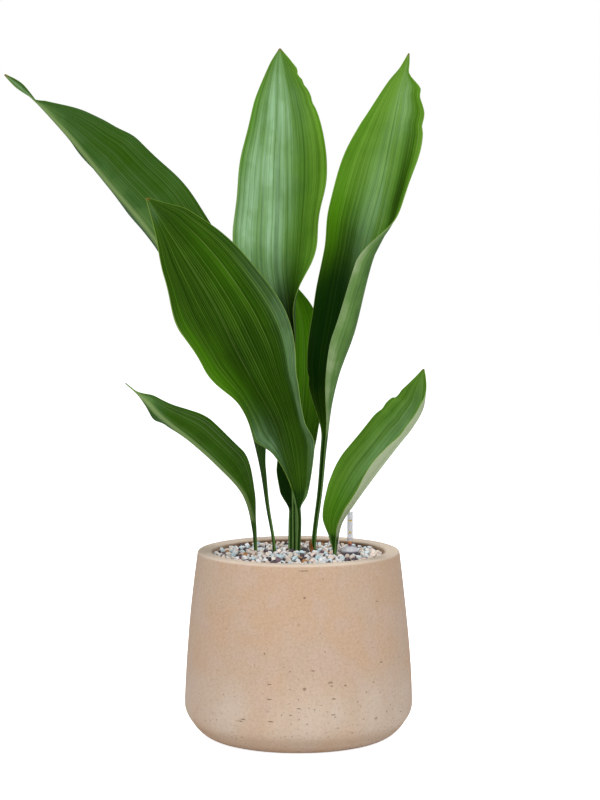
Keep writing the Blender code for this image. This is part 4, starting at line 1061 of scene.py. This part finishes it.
def slotted(body, turns, width, low, high):
    """Cut slots through a turned body, at those turns in degrees about its axis."""
    cutters = []
    for turn in turns:
        bm = bmesh.new()
        bmesh.ops.create_cube(bm, size=1.0)
        bmesh.ops.scale(bm, vec=(4.0 * HOUSING_RADIUS, width, high - low), verts=bm.verts)
        bmesh.ops.rotate(bm, matrix=Matrix.Rotation(math.radians(turn), 3, "Z"), verts=bm.verts)
        bmesh.ops.translate(bm, vec=(GAUGE_AT[0], GAUGE_AT[1], 0.5 * (low + high)), verts=bm.verts)
        bmesh.ops.scale(bm, vec=(MM, MM, MM), verts=bm.verts)
        mesh = bpy.data.meshes.new("slot_cutter")
        bm.to_mesh(mesh)
        bm.free()
        cutter = bpy.data.objects.new("slot_cutter", mesh)
        bpy.context.scene.collection.objects.link(cutter)
        cutters.append(cutter)
        cutting = body.modifiers.new("slot", "BOOLEAN")
        cutting.operation = "DIFFERENCE"
        cutting.object = cutter
    bpy.context.view_layer.update()
    cut_mesh = bpy.data.meshes.new_from_object(body.evaluated_get(bpy.context.evaluated_depsgraph_get()))
    body.modifiers.clear()
    body.data = cut_mesh
    for cutter in cutters:
        bpy.data.objects.remove(cutter)


def mark(name, low, high, half_width, pointed, paint):
    """A printed mark on the front of the tube; a pointed one falls away to both sides."""
    points, faces = [], []
    for i in range(MARK_COLUMNS + 1):
        share = 2.0 * i / MARK_COLUMNS - 1.0
        angle = math.radians(-90.0) + share * half_width / TUBE_RADIUS
        top = high - (high - low - 0.25) * abs(share) * pointed
        for radius, height in ((TUBE_RADIUS + MARK_LIFT, low), (TUBE_RADIUS + MARK_LIFT, top),
                               (TUBE_RADIUS - MARK_LIFT, top), (TUBE_RADIUS - MARK_LIFT, low)):
            x, y = GAUGE_AT[0] + radius * math.cos(angle), GAUGE_AT[1] + radius * math.sin(angle)
            points.append((x, y, height))
    for i in range(MARK_COLUMNS):
        for j in range(4):
            k = (j + 1) % 4
            faces.append((4 * i + j, 4 * i + 4 + j, 4 * i + 4 + k, 4 * i + k))
    faces += [(0, 1, 2, 3), tuple(4 * MARK_COLUMNS + j for j in (3, 2, 1, 0))]
    made = piece(name, points, faces, [paint], sharp=40)
    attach(made, "planted_pot")


housing_profile = [
    (HOUSING_RADIUS, HOUSING_FOOT), *rounded(HOUSING_RADIUS, HOUSING_TOP, GAUGE_ROUND, 0, 90, 4),
    (HOUSING_BORE, HOUSING_TOP), (HOUSING_BORE, HOUSING_FOOT)]
housing = turned("gauge_housing_tube", housing_profile, GAUGE_STEPS, [housing_plastic()], GAUGE_AT,
                 sharp=35)
slotted(housing, SLOT_TURNS, SLOT_WIDTH, SLOT_BOTTOM, SLOT_TOP)
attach(housing, "planted_pot")
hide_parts("gauge_housing")

spigot_bore = CAP_SPIGOT_RADIUS - CAP_WALL
cap_profile = [
    (0.0, CAP_TOP - CAP_WALL), (TUBE_BORE, CAP_TOP - CAP_WALL), (TUBE_BORE, CAP_CONE_TOP - CAP_WALL),
    (spigot_bore, CAP_SEAT + 0.5 * CAP_WALL), (spigot_bore, CAP_SPIGOT_FOOT),
    (CAP_SPIGOT_RADIUS, CAP_SPIGOT_FOOT), (CAP_SPIGOT_RADIUS, CAP_SEAT), (HOUSING_RADIUS, CAP_SEAT),
    *rounded(HOUSING_RADIUS, CAP_SEAT + CAP_SKIRT, GAUGE_ROUND, 0, 60, 4),
    (TUBE_RADIUS + 0.5, CAP_CONE_TOP), (TUBE_RADIUS, CAP_CONE_TOP + 0.7),
    *rounded(TUBE_RADIUS, CAP_TOP, GAUGE_ROUND, 0, 90, 5), (0.0, CAP_TOP)]
cap = turned("gauge_cap_tube", cap_profile, GAUGE_STEPS, [cap_plastic()], GAUGE_AT, sharp=35)
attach(cap, "planted_pot")
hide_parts("gauge_cap")

print_yellow = mark_paint()
mark("gauge_mark_full", *FULL_MARK, 1.6, 0.0, print_yellow)
mark("gauge_mark_low", *LOW_MARK, 1.9, 1.0, print_yellow)

float_profile = [
    (FLOAT_BORE, FLOAT_BOTTOM), *rounded(FLOAT_RADIUS, FLOAT_BOTTOM, FLOAT_ROUND, -90, 0, 5),
    *rounded(FLOAT_RADIUS, FLOAT_TOP, FLOAT_ROUND, 0, 90, 5), (FLOAT_BORE, FLOAT_TOP)]
water_float = turned("gauge_float_foam", float_profile, GAUGE_STEPS, [float_foam()], GAUGE_AT, sharp=35)
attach(water_float, "float")
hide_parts("gauge_float")

rod_profile = [
    (0.0, ROD_BOTTOM), (ROD_RADIUS, ROD_BOTTOM), (ROD_RADIUS, ROD_TIP_BOTTOM),
    *rounded(ROD_TIP_RADIUS, ROD_TIP_BOTTOM, GAUGE_ROUND, -90, 0, 4),
    *rounded(ROD_TIP_RADIUS, ROD_TOP, GAUGE_ROUND, 0, 90, 4), (0.0, ROD_TOP)]
rod = turned("gauge_rod_tip", rod_profile, GAUGE_STEPS, [rod_plastic()], GAUGE_AT, sharp=35)
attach(rod, "float")
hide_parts("gauge_rod")
